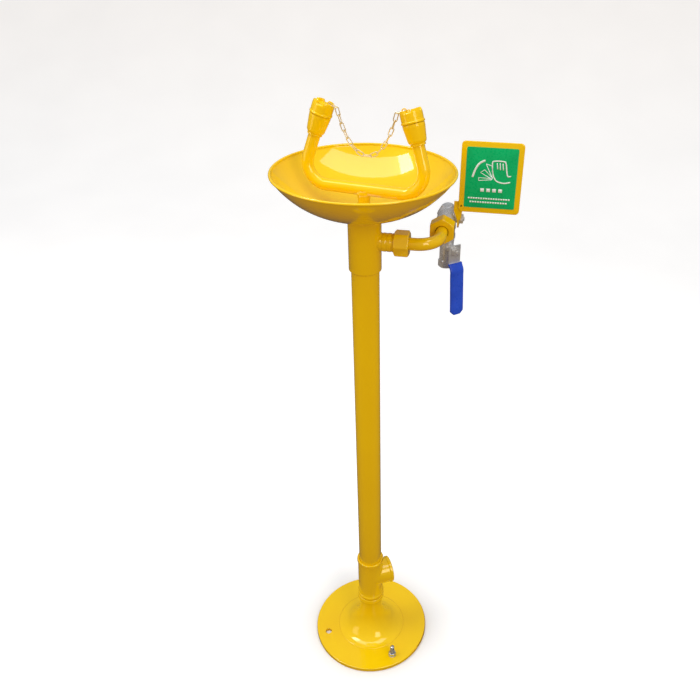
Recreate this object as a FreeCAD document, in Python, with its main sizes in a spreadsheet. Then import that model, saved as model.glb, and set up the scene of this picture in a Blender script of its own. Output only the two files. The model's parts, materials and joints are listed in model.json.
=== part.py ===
import FreeCAD, Part

import math
import operator
import os
from types import SimpleNamespace

import Sketcher

# Eyewash station on a pedestal. Origin on the floor at the post's axis, X to the user's right,
# Y away from the user, Z up. Millimetres and degrees.

dimensions = {
    # Post and base.
    "post_diameter": 42.4, "post_wall": 3.2, "post_insert": 14.0,
    "base_diameter": 225.0, "base_thickness": 7.0, "bell_radius": 57.0, "bell_curve": 74.0,
    "neck_wall": 4.6, "neck_top": 100.0, "socket_floor": 30.0, "anchor_circle": 181.0,
    "anchor_hole": 12.0, "anchor_left": 205.5, "anchor_right": 308.5, "anchor_back": 97.0,
    # Waste tee at the foot.
    "tee_height": 150.5, "tee_length": 97.0, "tee_wall": 2.7, "lip_rise": 1.5,
    "lip_width": 5.0, "outlet_reach": 41.0, "outlet_bore": 39.0, "drain_turn": 30.0,
    "nipple_wall": 4.0, "waste_bore": 36.0,
    # Collar under the bowl.
    "collar_base": 818.0, "collar_length": 86.4, "collar_wall": 3.3, "collar_bore": 37.8,
    "collar_rounding": 3.0, "gasket_thickness": 2.5, "branch_height": 864.0,
    # Bowl.
    "bowl_diameter": 261.4, "bowl_depth": 62.5, "bowl_curve": 132.0, "bowl_wall": 2.2,
    "rim_bead": 3.2, "flange_wall": 4.5, "spigot_thickness": 2.0,
    "spigot_length": 14.0, "spigot_bore": 30.0, "strainer_thickness": 1.2, "strainer_diameter": 44.0,
    "strainer_hole": 3.6, "strainer_circle": 24.0,
    # Spray yoke.
    "yoke_tube": 17.2, "yoke_wall": 2.3, "cross_height": 941.5, "cross_half": 56.0,
    "yoke_bend": 30.0, "arm_tilt": 17.7, "arm_rise": 29.5, "arm_insert": 8.0,
    "yoke_turn": 9.5, "yoke_lean": 7.6, "feed_bend": 12.0,
    # Nozzle heads and dust caps.
    "head_wall": 4.2, "head_flare": 2.4, "head_length": 29.0, "head_collar": 4.0,
    "mouth_diameter": 25.2, "mouth_length": 9.0, "mouth_bore": 20.0, "face_thickness": 2.5,
    "spray_hole": 1.8, "spray_circle": 13.0, "mesh_thickness": 1.0, "mesh_height": 16.0,
    "cap_diameter": 32.4, "cap_height": 14.6, "cap_gap": 0.4, "cap_roof": 3.2,
    "cap_bead": 1.2, "lug_height": 3.4, "lug_depth": 5.0, "lug_width": 7.0,
    "eye_ring": 3.2, "eye_wire": 0.8, "eye_reach": 8.5, "eye_lift": 2.6,
    "chain_length": 160.0, "link_pitch": 10.6, "chain_wire": 0.75, "link_width": 6.6,
    "link_play": 0.3,
    # Unions and the supply bend.
    "union_flats": 34.0, "valve_union_flats": 36.4, "union_length": 22.0, "union_thread": 26.8,
    "union_hole": 22.0, "union_engage": 9.0, "union_gasket": 2.0, "tail_width": 3.5,
    "union_reach": 53.0, "feed_bore": 12.6, "supply_tube": 18.6, "supply_wall": 1.6, "supply_bend": 33.0,
    "valve_offset": 107.0, "valve_union": 63.0, "spigot_shoulder": 11.0,
    # The two ball valves.
    "valve_length": 60.0, "push_diameter": 26.6, "isolator_diameter": 23.0, "hexagon_rise": 0.4,
    "valve_hex": 13.0,
    "valve_thread": 18.6, "thread_depth": 12.0, "ball_station": 36.0, "ball_diameter": 15.0,
    "ball_bore": 9.0, "ball_flat": 6.5, "chamber_diameter": 16.6, "seat_near": 5.6,
    "seat_far": 9.0, "seat_mouth": 12.0, "stem_diameter": 7.0, "stem_play": 0.05,
    "end_length": 10.0, "neck_width": 13.0, "gland_flats": 12.0, "gland_height": 3.2,
    "push_boss": 1.8, "isolator_boss": 6.5, "stem_tail": 2.0, "nut_flats": 13.0,
    "nut_height": 6.0, "elbow_reach": 17.0, "elbow_diameter": 26.6, "elbow_bead": 30.6,
    "bead_width": 6.0, "nipple_hex": 8.0, "isolator_drop": 42.0, "isolator_turn": 50.0,
    # Push plate and its arm.
    "sheet_metal": 2.5, "arm_tuck": 1.1, "arm_back": 12.0, "arm_foot": 12.0, "arm_head": 31.0,
    "leg_tuck": 0.8, "leg_right": 45.0, "leg_foot": 1.5, "leg_cut": 14.0,
    "plate_width": 92.0, "plate_height": 107.0, "plate_foot": 16.5, "plate_corner": 6.0,
    "plate_tilt": 3.0,
    "sticker_margin": 8.0, "sticker_thickness": 0.4, "rivet_diameter": 4.8, "rivet_pitch": 14.0,
    # Isolating lever.
    "lever_width": 22.4, "lever_sheet": 2.5, "lever_hub": 9.5, "lever_step": 21.0,
    "lever_slope": 11.0, "lever_shift": 10.0, "lever_flare": 5.0, "lever_end": 110.0,
    "sleeve_skin": 1.5, "sleeve_start": 21.0, "sleeve_point": 6.0,
    # Anchor stud.
    "stud_diameter": 8.0, "stud_length": 32.0, "washer_diameter": 15.0, "washer_thickness": 1.4,
    "anchor_flats": 13.0, "anchor_nut": 6.5,
}


class Size:
    """A length or an angle that keeps its formula on the sheet and its present number."""

    def __init__(self, formula, number):
        self.formula = formula
        self.number = number

    def joined(self, other, sign, work, swapped=False):
        first, second = (size(other), self) if swapped else (self, size(other))
        formula = f"({first.formula} {sign} {second.formula})"
        return Size(formula, work(first.number, second.number))

    def __add__(self, other):
        return self.joined(other, "+", operator.add)

    def __radd__(self, other):
        return self.joined(other, "+", operator.add, swapped=True)

    def __sub__(self, other):
        return self.joined(other, "-", operator.sub)

    def __rsub__(self, other):
        return self.joined(other, "-", operator.sub, swapped=True)

    def __mul__(self, other):
        return self.joined(other, "*", operator.mul)

    def __rmul__(self, other):
        return self.joined(other, "*", operator.mul, swapped=True)

    def __truediv__(self, other):
        return self.joined(other, "/", operator.truediv)

    def __neg__(self):
        return self.joined(0, "-", operator.sub, swapped=True)


def size(value):
    return value if isinstance(value, Size) else Size(f"({value})", float(value))


def sine(angle):
    return Size(f"sin({size(angle).formula})", math.sin(math.radians(size(angle).number)))


def cosine(angle):
    return Size(f"cos({size(angle).formula})", math.cos(math.radians(size(angle).number)))


class Place:
    """A position with turns, kept as a formula on the sheet and as a present placement."""

    def __init__(self, x=0, y=0, z=0, turns=()):
        spot = [size(x), size(y), size(z)]
        formulas = []
        rotation = FreeCAD.Rotation()
        for axis, angle in turns:
            formulas.append("rotation(vector({}; {}; {}); {})".format(*axis, size(angle).formula))
            rotation = rotation.multiply(FreeCAD.Rotation(FreeCAD.Vector(*axis), size(angle).number))
        turned = " * ".join(formulas) or "rotation(vector(0; 0; 1); 0)"
        self.formula = "placement(vector({}; {}; {}); {})".format(*(s.formula for s in spot), turned)
        self.placement = FreeCAD.Placement(FreeCAD.Vector(*(s.number for s in spot)), rotation)

    def __mul__(self, inner):
        both = Place()
        both.formula = f"{self.formula} * {inner.formula}"
        both.placement = self.placement.multiply(inner.placement)
        return both


doc = FreeCAD.newDocument("EyewashStation")
sheet = doc.addObject("Spreadsheet::Sheet", "Dims")
for row, (alias, number) in enumerate(dimensions.items(), start=1):
    sheet.set(f"A{row}", str(number))
    sheet.setAlias(f"A{row}", alias)
doc.recompute()
d = SimpleNamespace(**{alias: Size(f"Dims.{alias}", sheet.get(alias)) for alias in dimensions})
axis_x = (1, 0, 0)
axis_y = (0, 1, 0)
axis_z = (0, 0, 1)
subparts = []


# Building blocks.

def bind(item, **sizes):
    for name, value in sizes.items():
        item.setExpression(name, size(value).formula)


def settle(item, label, place):
    item.Label = label
    item.setExpression("Placement", place.formula)
    subparts.append(item)
    return item


def new_body(label, place):
    return settle(doc.addObject("PartDesign::Body", label), label, place)


def origin_feature(body, role):
    return next(item for item in body.Origin.OriginFeatures if item.Role == role)


def new_sketch(body, role):
    sketch = body.newObject("Sketcher::SketchObject", "Sketch")
    sketch.AttachmentSupport = [(origin_feature(body, role), "")]
    sketch.MapMode = "FlatFace"
    return sketch


def hold(sketch, kind, places, value):
    index = sketch.addConstraint(Sketcher.Constraint(kind, *places, value.number))
    sketch.setExpression(f"Constraints[{index}]", value.formula)


def hold_point(sketch, element, end, x, y):
    for kind, value, axis in (("DistanceX", x, -2), ("DistanceY", y, -1)):
        if value.number == 0:
            sketch.addConstraint(Sketcher.Constraint("PointOnObject", element, end, axis))
        else:
            hold(sketch, kind, (-1, 1, element, end), value)


def draw(sketch, points, closed=True):
    """Draw straight runs and arcs through the points. A point of four values ends an arc: its
    radius, then 1 where the arc's centre lies left of the way along, or -1 where it lies right."""
    spots = [(size(point[0]), size(point[1])) for point in points]
    pieces = range(len(points)) if closed else range(1, len(points))
    ends = []
    for index in pieces:
        start = FreeCAD.Vector(spots[index - 1][0].number, spots[index - 1][1].number)
        finish = FreeCAD.Vector(spots[index][0].number, spots[index][1].number)
        if len(points[index]) == 2:
            element = sketch.addGeometry(Part.LineSegment(start, finish))
            ends.append((element, 1, 2))
            continue
        radius, side = points[index][2:]
        along = finish - start
        left = FreeCAD.Vector(-along.y, along.x) / along.Length
        rise = math.sqrt(max(radius.number**2 - along.Length**2 / 4, 0))
        centre = (start + finish) / 2 + left * rise * side
        begin, stop = (start, finish) if side > 0 else (finish, start)
        angles = [math.atan2(spot.y - centre.y, spot.x - centre.x) for spot in (begin, stop)]
        circle = Part.Circle(centre, FreeCAD.Vector(*axis_z), radius.number)
        element = sketch.addGeometry(Part.ArcOfCircle(circle, *angles))
        hold(sketch, "Radius", (element,), radius)
        ends.append((element, 1, 2) if side > 0 else (element, 2, 1))
    joints = zip(ends, ends[1:] + ends[:1]) if closed else zip(ends, ends[1:])
    for (element, _, last), (following, first, _) in joints:
        sketch.addConstraint(Sketcher.Constraint("Coincident", element, last, following, first))
    for index, (element, _, last) in zip(pieces, ends):
        hold_point(sketch, element, last, *spots[index])
    if not closed:
        hold_point(sketch, ends[0][0], ends[0][1], *spots[0])


def draw_circle(sketch, radius, x=0, y=0):
    radius, x, y = size(radius), size(x), size(y)
    circle = Part.Circle(FreeCAD.Vector(x.number, y.number), FreeCAD.Vector(*axis_z), radius.number)
    element = sketch.addGeometry(circle)
    hold_point(sketch, element, 3, x, y)
    hold(sketch, "Radius", (element,), radius)


def revolve(body, points, kind="Revolution", axis="V_Axis"):
    sketch = new_sketch(body, "XZ_Plane")
    draw(sketch, points)
    turned = body.newObject(f"PartDesign::{kind}", kind)
    turned.Profile = sketch
    turned.ReferenceAxis = (sketch, [axis])
    turned.Angle = 360
    return turned


def lathe(label, points, place):
    """Turn an outline of radius and height pairs about the body's Z axis."""
    body = new_body(label, place)
    revolve(body, points)
    return body


def ring(label, bore, outside, low, high, place):
    """Turn a plain ring between two diameters and two heights."""
    inner, outer = bore / 2, outside / 2
    return lathe(label, [(inner, low), (outer, low), (outer, high), (inner, high)], place)


def pad(body, sketch, length, both_ways=False, backwards=False):
    extrusion = body.newObject("PartDesign::Pad", "Pad")
    extrusion.Profile = sketch
    extrusion.SideType = "Symmetric" if both_ways else "One side"
    extrusion.Reversed = backwards
    bind(extrusion, Length=length)
    return extrusion


def bore(body, role, circles, depth=None, backwards=False):
    """Cut round holes square to one of the body's planes, right through or to a depth."""
    sketch = new_sketch(body, role)
    for radius, x, y in circles:
        draw_circle(sketch, radius, x, y)
    pocket = body.newObject("PartDesign::Pocket", "Pocket")
    pocket.Profile = sketch
    pocket.Reversed = backwards
    if depth is None:
        pocket.Type = "ThroughAll"
        pocket.SideType = "Symmetric"
    else:
        bind(pocket, Length=depth)
    return pocket


def repeat(body, feature, count):
    """Repeat a feature evenly round the body's Z axis."""
    pattern = body.newObject("PartDesign::PolarPattern", "PolarPattern")
    pattern.Originals = [feature]
    pattern.Axis = (origin_feature(body, "Z_Axis"), [""])
    pattern.Angle = 360
    pattern.Occurrences = count
    body.Tip = pattern


def hidden(item):
    """Take a body made by the helpers back out of the list of sub-parts."""
    subparts.remove(item)
    return item


def hex_nut(label, flats, inner, low, high, place, turn=0):
    """A hexagon with bevelled corners round a turned bore, whose outline is a list of points."""
    corner = flats / math.sqrt(3)
    bevel = (corner - flats / 2) * 0.8
    outline = [(corner - bevel, low), (corner, low + bevel / 2), (corner, high - bevel / 2),
               (corner - bevel, high)] + inner
    blank = hidden(lathe(f"{label}_blank", outline, Place()))
    prism = doc.addObject("Part::Prism", f"{label}_prism")
    prism.Polygon = 6
    bind(prism, Circumradius=corner, Height=high - low)
    prism.setExpression("Placement", Place(z=low, turns=[(axis_z, turn)]).formula)
    nut = doc.addObject("Part::Common", f"{label}_nut")
    nut.Base = blank
    nut.Tool = prism
    return settle(nut, label, place)


def plain_nut(label, flats, hole, low, high, place, turn=0):
    return hex_nut(label, flats, [(hole / 2, high), (hole / 2, low)], low, high, place, turn)


def bent_tube(label, outside, wall, path, start_plane, path_plane, place):
    """Carry a round tube along a path that leaves the body's origin square to the start plane."""
    body = new_body(label, place)
    section = new_sketch(body, start_plane)
    draw_circle(section, outside / 2)
    draw_circle(section, outside / 2 - wall)
    route = new_sketch(body, path_plane)
    draw(route, path, closed=False)
    tube = body.newObject("PartDesign::AdditivePipe", "AdditivePipe")
    tube.Profile = section
    tube.Spine = (route, [f"Edge{number}" for number in range(1, len(path))])
    return body, tube


# Base and waste side.

post_radius = d.post_diameter / 2
collar_radius = post_radius + d.collar_wall


def anchor_spot(angle):
    reach = d.anchor_circle / 2
    return reach * cosine(angle), reach * sine(angle)


def make_base():
    edge, high = d.base_diameter / 2, d.base_thickness
    disc = lathe("base_disc", [(0, 0), (edge, 0), (edge, high - 1), (edge - 1, high), (0, high)],
                 Place())
    bore(disc, "XY_Plane", [(d.anchor_hole / 2, *anchor_spot(angle))
                            for angle in (d.anchor_left, d.anchor_right, d.anchor_back)])
    neck = post_radius + d.neck_wall
    lathe("base_bell", [(0, high), (d.bell_radius, high), (neck, d.neck_top - 8, d.bell_curve, -1),
                        (neck, d.neck_top - 1.5), (neck - 1.5, d.neck_top),
                        (post_radius, d.neck_top), (post_radius, d.socket_floor),
                        (0, d.socket_floor)], Place())


def make_blank_nipple():
    top = d.tee_height - d.tee_length / 2 + d.post_insert - d.socket_floor
    inner = post_radius - d.nipple_wall
    outline = [(inner, 0), (post_radius, 0), (post_radius, top), (0, top),
               (0, top - d.nipple_wall), (inner, top - d.nipple_wall)]
    lathe("blank_nipple", outline, Place(z=d.socket_floor))


def make_waste_tee():
    half = d.tee_length / 2
    side, waste = post_radius + d.tee_wall, d.waste_bore / 2
    lip = side + d.lip_rise
    mouth = d.outlet_bore / 2
    body = new_body("waste_tee", Place(z=d.tee_height, turns=[(axis_z, d.drain_turn)]))
    run = [(0, -half), (lip - 1, -half), (lip, 1 - half), (lip, d.lip_width - half),
           (side, d.lip_width + 2 - half), (side, half - d.lip_width - 2), (lip, half - d.lip_width),
           (lip, half - 1), (lip - 1, half), (0, half)]
    revolve(body, run)
    rim = d.outlet_reach
    branch = [(0, 0), (0, side), (rim - d.lip_width - 2, side), (rim - d.lip_width, lip),
              (rim - 1, lip), (rim, lip - 1), (rim, 0)]
    revolve(body, branch, axis="H_Axis")
    pipe = post_radius
    hollow = [(0, -half), (pipe, -half), (pipe, d.post_insert - half), (waste, d.post_insert - half),
              (waste, half - d.post_insert), (pipe, half - d.post_insert), (pipe, half), (0, half)]
    revolve(body, hollow, "Groove")
    revolve(body, [(0, 0), (0, waste), (side, waste), (side, mouth), (rim, mouth), (rim, 0)],
            "Groove", "H_Axis")


def make_stand_pipe():
    low = d.tee_height + d.tee_length / 2 - d.post_insert
    high = d.collar_base + d.post_insert
    ring("stand_pipe", d.post_diameter - d.post_wall * 2, d.post_diameter, 0, high - low,
         Place(z=low))


def make_collar_tee():
    side, inner, top = collar_radius, d.collar_bore / 2, d.collar_length
    step = d.collar_rounding
    outline = [(post_radius, 0), (side - 1, 0), (side, 1), (side, top - step * 3),
               (side - step, top, step * 6, 1), (inner, top), (inner, d.post_insert),
               (post_radius, d.post_insert)]
    body = lathe("collar_tee", outline, Place(z=d.collar_base))
    bore(body, "YZ_Plane", [(d.union_thread / 2, 0, d.branch_height - d.collar_base)], side + 1,
         backwards=True)


# Bowl and its waste fitting.

bowl_foot_height = d.collar_base + d.collar_length + d.gasket_thickness


def make_bowl():
    rim, wall, bead = d.bowl_diameter / 2, d.bowl_wall, d.rim_bead
    high = d.bowl_depth
    outline = [(d.collar_bore / 2, 0), (collar_radius, 0),
               (rim - 1, high - bead, d.bowl_curve, 1), (rim, high - bead * 0.7),
               (rim, high - bead * 0.3), (rim - 1, high), (rim - bead, high),
               (collar_radius - 1, wall, d.bowl_curve - wall, -1), (d.collar_bore / 2, wall)]
    lathe("bowl", outline, Place(z=bowl_foot_height))


def make_bowl_waste():
    place = Place(z=bowl_foot_height)
    foot = d.bowl_wall
    top = foot + d.spigot_thickness
    inner, thread = d.spigot_bore / 2, d.collar_bore / 2
    flange = thread + d.flange_wall
    ring("bowl_gasket", d.collar_bore, (collar_radius - d.collar_rounding) * 2,
         -d.gasket_thickness, size(0), place)
    outline = [(inner, foot - d.spigot_length), (thread, foot - d.spigot_length), (thread, foot),
               (flange - 1, foot), (flange - 1.5, top), (inner, top)]
    lathe("waste_spigot", outline, place)
    strainer = ring("bowl_strainer", d.yoke_tube, d.strainer_diameter, top,
                    top + d.strainer_thickness, place)
    hole = bore(strainer, "XY_Plane", [(d.strainer_hole / 2, d.strainer_circle / 2, 0)])
    repeat(strainer, hole, 10)


# Spray yoke, heads and caps.

yoke_place = Place(z=d.cross_height, turns=[(axis_z, -d.yoke_turn), (axis_x, -d.yoke_lean)])
arm_start_x = d.cross_half + d.yoke_bend * cosine(d.arm_tilt)
arm_start_z = d.yoke_bend + d.yoke_bend * sine(d.arm_tilt)
head_x = arm_start_x - d.arm_rise * sine(d.arm_tilt)
head_z = arm_start_z + d.arm_rise * cosine(d.arm_tilt)


def make_spray_yoke():
    end_x = head_x - d.arm_insert * sine(d.arm_tilt)
    end_z = head_z + d.arm_insert * cosine(d.arm_tilt)
    path = [(0, 0), (d.cross_half, 0),
            (d.cross_half + d.yoke_bend, d.yoke_bend, d.yoke_bend, 1),
            (arm_start_x, arm_start_z, d.yoke_bend, 1), (end_x, end_z)]
    body, tube = bent_tube("spray_yoke", d.yoke_tube, d.yoke_wall, path, "YZ_Plane", "XZ_Plane",
                           yoke_place)
    mirror = body.newObject("PartDesign::Mirrored", "Mirrored")
    mirror.Originals = [tube]
    mirror.MirrorPlane = (origin_feature(body, "YZ_Plane"), [""])
    body.Tip = mirror
    bore(body, "XY_Plane", [(d.yoke_tube / 2 - d.yoke_wall - 0.5, 0, 0)], d.yoke_tube)


def make_riser():
    length = d.cross_height - bowl_foot_height
    blank = hidden(ring("riser_blank", d.yoke_tube - d.yoke_wall * 2, d.yoke_tube, 0, length,
                        Place()))
    saddle = doc.addObject("Part::Cylinder", "riser_saddle")
    bind(saddle, Radius=d.yoke_tube / 2, Height=d.yoke_tube * 2)
    across = Place(-d.yoke_tube, 0, length, [(axis_y, 90)])
    saddle.setExpression("Placement", across.formula)
    riser = doc.addObject("Part::Cut", "riser_cut")
    riser.Base = blank
    riser.Tool = saddle
    settle(riser, "riser_pipe", Place(z=bowl_foot_height, turns=[(axis_z, -d.yoke_turn)]))


def make_feed_elbow():
    reach = d.collar_bore / 2
    lift = bowl_foot_height - d.branch_height
    path = [(0, 0), (d.feed_bend - reach, 0), (-reach, d.feed_bend, d.feed_bend, -1),
            (-reach, lift)]
    bent_tube("feed_elbow", d.yoke_tube, d.yoke_wall, path, "YZ_Plane", "XZ_Plane",
              Place(reach, 0, d.branch_height))


def make_head(hand, side):
    """One nozzle head with its face, mesh and cap. side is -1 on the user's left, 1 on the right."""
    place = yoke_place * Place(side * head_x, 0, head_z, [(axis_y, -side * d.arm_tilt)])
    tube = d.yoke_tube / 2
    foot = tube + d.head_wall
    top = foot + d.head_flare
    inner, mouth, high = d.mouth_bore / 2, d.mouth_diameter / 2, d.head_length
    last = high + d.mouth_length
    ledge = d.arm_insert + 3
    seat = last - d.face_thickness
    outline = [(tube, 0), (foot - 2, 0), (foot - 1.6, 0.4), (foot - 1.6, 2.2), (foot - 2, 2.6),
               (foot - 0.6, 3), (foot, 4.2),
               (top, high - d.head_collar), (top, high), (mouth, high), (mouth, last),
               (inner, last), (inner, ledge + 3), (tube - d.yoke_wall, ledge),
               (tube - d.yoke_wall, d.arm_insert), (tube, d.arm_insert)]
    lathe(f"nozzle_head_{hand}", outline, place)
    face = ring(f"spray_face_{hand}", d.spray_hole, d.mouth_bore, seat, last, place)
    hole = bore(face, "XY_Plane", [(d.spray_hole / 2, d.spray_circle / 2, 0)])
    repeat(face, hole, 8)
    mesh = size(d.mesh_height)
    lathe(f"filter_disc_{hand}", [(0, mesh), (inner, mesh), (inner, mesh + d.mesh_thickness),
                                  (0, mesh + d.mesh_thickness)], place)
    make_cap(hand, side, place)
    return place


def make_cap(hand, side, place):
    low, outer = d.head_length + d.cap_gap, d.cap_diameter / 2
    high = low + d.cap_height
    inner = d.mouth_diameter / 2 + d.cap_gap
    ceiling = high - d.cap_roof
    bead = d.cap_bead
    outline = [(0, ceiling), (inner, ceiling), (inner, low), (outer - 0.5, low), (outer, low + 0.5),
               (outer, low + bead * 2), (outer - 0.7, low + bead * 3), (outer - 0.7, high - bead),
               (outer - 0.7 - bead, high), (0, high)]
    turned = hidden(lathe(f"cap_turned_{hand}", outline, Place()))
    pieces = [turned]
    for number in range(4):
        lug = doc.addObject("Part::Box", f"cap_lug_{hand}_{number}")
        bind(lug, Length=d.lug_depth, Width=d.lug_width, Height=d.lug_height + 1)
        spot = Place(z=high - 1, turns=[(axis_z, 45 + 90 * number)])
        spot = spot * Place(outer - bead - 1 - d.lug_depth, -d.lug_width / 2, 0)
        lug.setExpression("Placement", spot.formula)
        pieces.append(lug)
    eye = doc.addObject("Part::Torus", f"cap_eye_{hand}")
    bind(eye, Radius1=d.eye_ring, Radius2=d.eye_wire)
    spot = Place(-side * d.eye_reach, 0, high + d.eye_lift, [(axis_x, 90)])
    eye.setExpression("Placement", spot.formula)
    pieces.append(eye)
    cap = doc.addObject("Part::MultiFuse", f"cap_fused_{hand}")
    cap.Shapes = pieces
    settle(cap, f"dust_cap_{hand}", place)


def chain_spots(place, side):
    """A cap's chain eye, and the outer end of the flat link through it that lies over the cap's
    edge."""
    high = d.head_length + d.cap_gap + d.cap_height + d.eye_lift
    return [place.placement.multVec(FreeCAD.Vector(-side * across.number, 0, high.number))
            for across in (d.eye_reach, d.eye_reach + d.link_pitch)]


def hanging_curve(half_span, half_length):
    """The constant of the catenary with this half span and half length, by halving."""
    low, high = half_span / 50, half_span * 50
    for _ in range(80):
        middle = (low + high) / 2
        if middle * math.sinh(half_span / middle) > half_length:
            low = middle
        else:
            high = middle
    return middle


def chain_link(pitch):
    """One oval link lying in the XZ plane, long way on X, round its own centre."""
    wire = d.chain_wire.number
    half = (pitch + d.link_play.number) / 2 + wire
    bend = d.link_width.number / 2 - wire
    straight = half - bend
    corners = [FreeCAD.Vector(x, 0, z) for x, z in
               ((-straight, -bend), (straight, -bend), (straight, bend), (-straight, bend))]
    tips = [FreeCAD.Vector(half, 0, 0), FreeCAD.Vector(-half, 0, 0)]
    path = Part.Wire([Part.LineSegment(corners[0], corners[1]).toShape(),
                      Part.Arc(corners[1], tips[0], corners[2]).toShape(),
                      Part.LineSegment(corners[2], corners[3]).toShape(),
                      Part.Arc(corners[3], tips[1], corners[0]).toShape()])
    section = Part.Wire(Part.makeCircle(wire, FreeCAD.Vector(0, 0, -bend), FreeCAD.Vector(*axis_x)))
    return path.makePipeShell([section], True, False)


def place_link(pitch, centre, heading, slope, roll):
    link = chain_link(pitch)
    turn = FreeCAD.Rotation(FreeCAD.Vector(*axis_z), heading)
    turn = turn.multiply(FreeCAD.Rotation(FreeCAD.Vector(*axis_y), -slope))
    turn = turn.multiply(FreeCAD.Rotation(FreeCAD.Vector(*axis_x), roll))
    link.Placement = FreeCAD.Placement(centre, turn)
    return link


def make_chain(left, right, link_count=15):
    """Hang the links between the two caps' flat links; the left node holds the middle link too."""
    start, finish = left[1], right[1]
    half_span = (finish - start).Length / 2
    half_length = d.chain_length.number / 2
    constant = hanging_curve(half_span, half_length)
    sag = constant * (math.cosh(half_span / constant) - 1)
    middle = (start + finish) / 2
    heading = math.degrees(math.atan2(finish.y - start.y, finish.x - start.x))
    level = FreeCAD.Rotation(FreeCAD.Vector(*axis_z), heading)
    pitch = d.chain_length.number / link_count
    tilt = d.arm_tilt.number
    links = [place_link(d.link_pitch.number, (left[0] + start) / 2, heading, -tilt, 90)]
    for number in range(link_count):
        run = (number + 0.5) * pitch - half_length
        across = constant * math.asinh(run / constant)
        height = constant * (math.cosh(across / constant) - 1) - sag
        slope = math.degrees(math.atan(run / constant))
        centre = middle + level.multVec(FreeCAD.Vector(across, 0, height))
        links.append(place_link(pitch, centre, heading, slope, 90 * (number % 2)))
    links.append(place_link(d.link_pitch.number, (right[0] + finish) / 2, heading, tilt, 90))
    shared = len(links) // 2 + 1
    for label, group in (("chain_left", links[:shared]), ("chain_right", links[shared:])):
        chain = doc.addObject("Part::Feature", label)
        chain.Label = label
        chain.Shape = Part.makeCompound(group)
        subparts.append(chain)


# Supply side.

def make_union(prefix, place, flats, turn):
    """Nut, gasket and tail ring. The place's origin is the threaded end, its Z runs to the tube."""
    gasket_top = d.union_gasket
    shoulder = gasket_top + d.tail_width
    thread, hole = d.union_thread / 2, d.union_hole / 2
    low = -d.union_engage
    high = d.union_length - d.union_engage
    inner = [(hole, high), (hole, shoulder), (thread, shoulder), (thread, low)]
    hex_nut(f"{prefix}_union_nut", flats, inner, low, high, place, turn)
    ring(f"{prefix}_union_gasket", d.feed_bore, d.union_thread - 1, size(0), gasket_top, place)
    ring(f"{prefix}_union_tail", d.supply_tube, d.union_thread - 0.6, gasket_top, shoulder, place)


def make_supply():
    collar_union = Place(d.union_reach, 0, d.branch_height, [(axis_y, 90), (axis_z, 90)])
    valve_union = Place(d.valve_offset, d.valve_union, d.branch_height, [(axis_x, 90)])
    make_union("collar", collar_union, d.union_flats, 0)
    make_union("valve", valve_union, d.valve_union_flats, 30)
    ring("inlet_nipple", d.feed_bore, d.union_thread, d.collar_bore / 2, d.union_reach,
         Place(0, 0, d.branch_height, [(axis_y, 90)]))
    start = d.union_reach + d.union_gasket
    stop = d.valve_union - d.union_gasket
    turn_x = d.valve_offset - d.supply_bend - start
    path = [(0, 0), (turn_x, 0), (d.valve_offset - start, d.supply_bend, d.supply_bend, 1),
            (d.valve_offset - start, stop)]
    bent_tube("supply_bend", d.supply_tube, d.supply_wall, path, "YZ_Plane", "XY_Plane",
              Place(start, 0, d.branch_height))
    thread, male, inner = d.union_thread / 2, d.valve_thread / 2, d.feed_bore / 2
    shoulder = d.spigot_shoulder
    outline = [(inner, 0), (thread, 0), (thread, shoulder), (male, shoulder),
               (male, shoulder + d.thread_depth), (inner, shoulder + d.thread_depth)]
    lathe("union_spigot", outline,
          Place(d.valve_offset, d.valve_union, d.branch_height, [(axis_x, -90)]))


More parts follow.
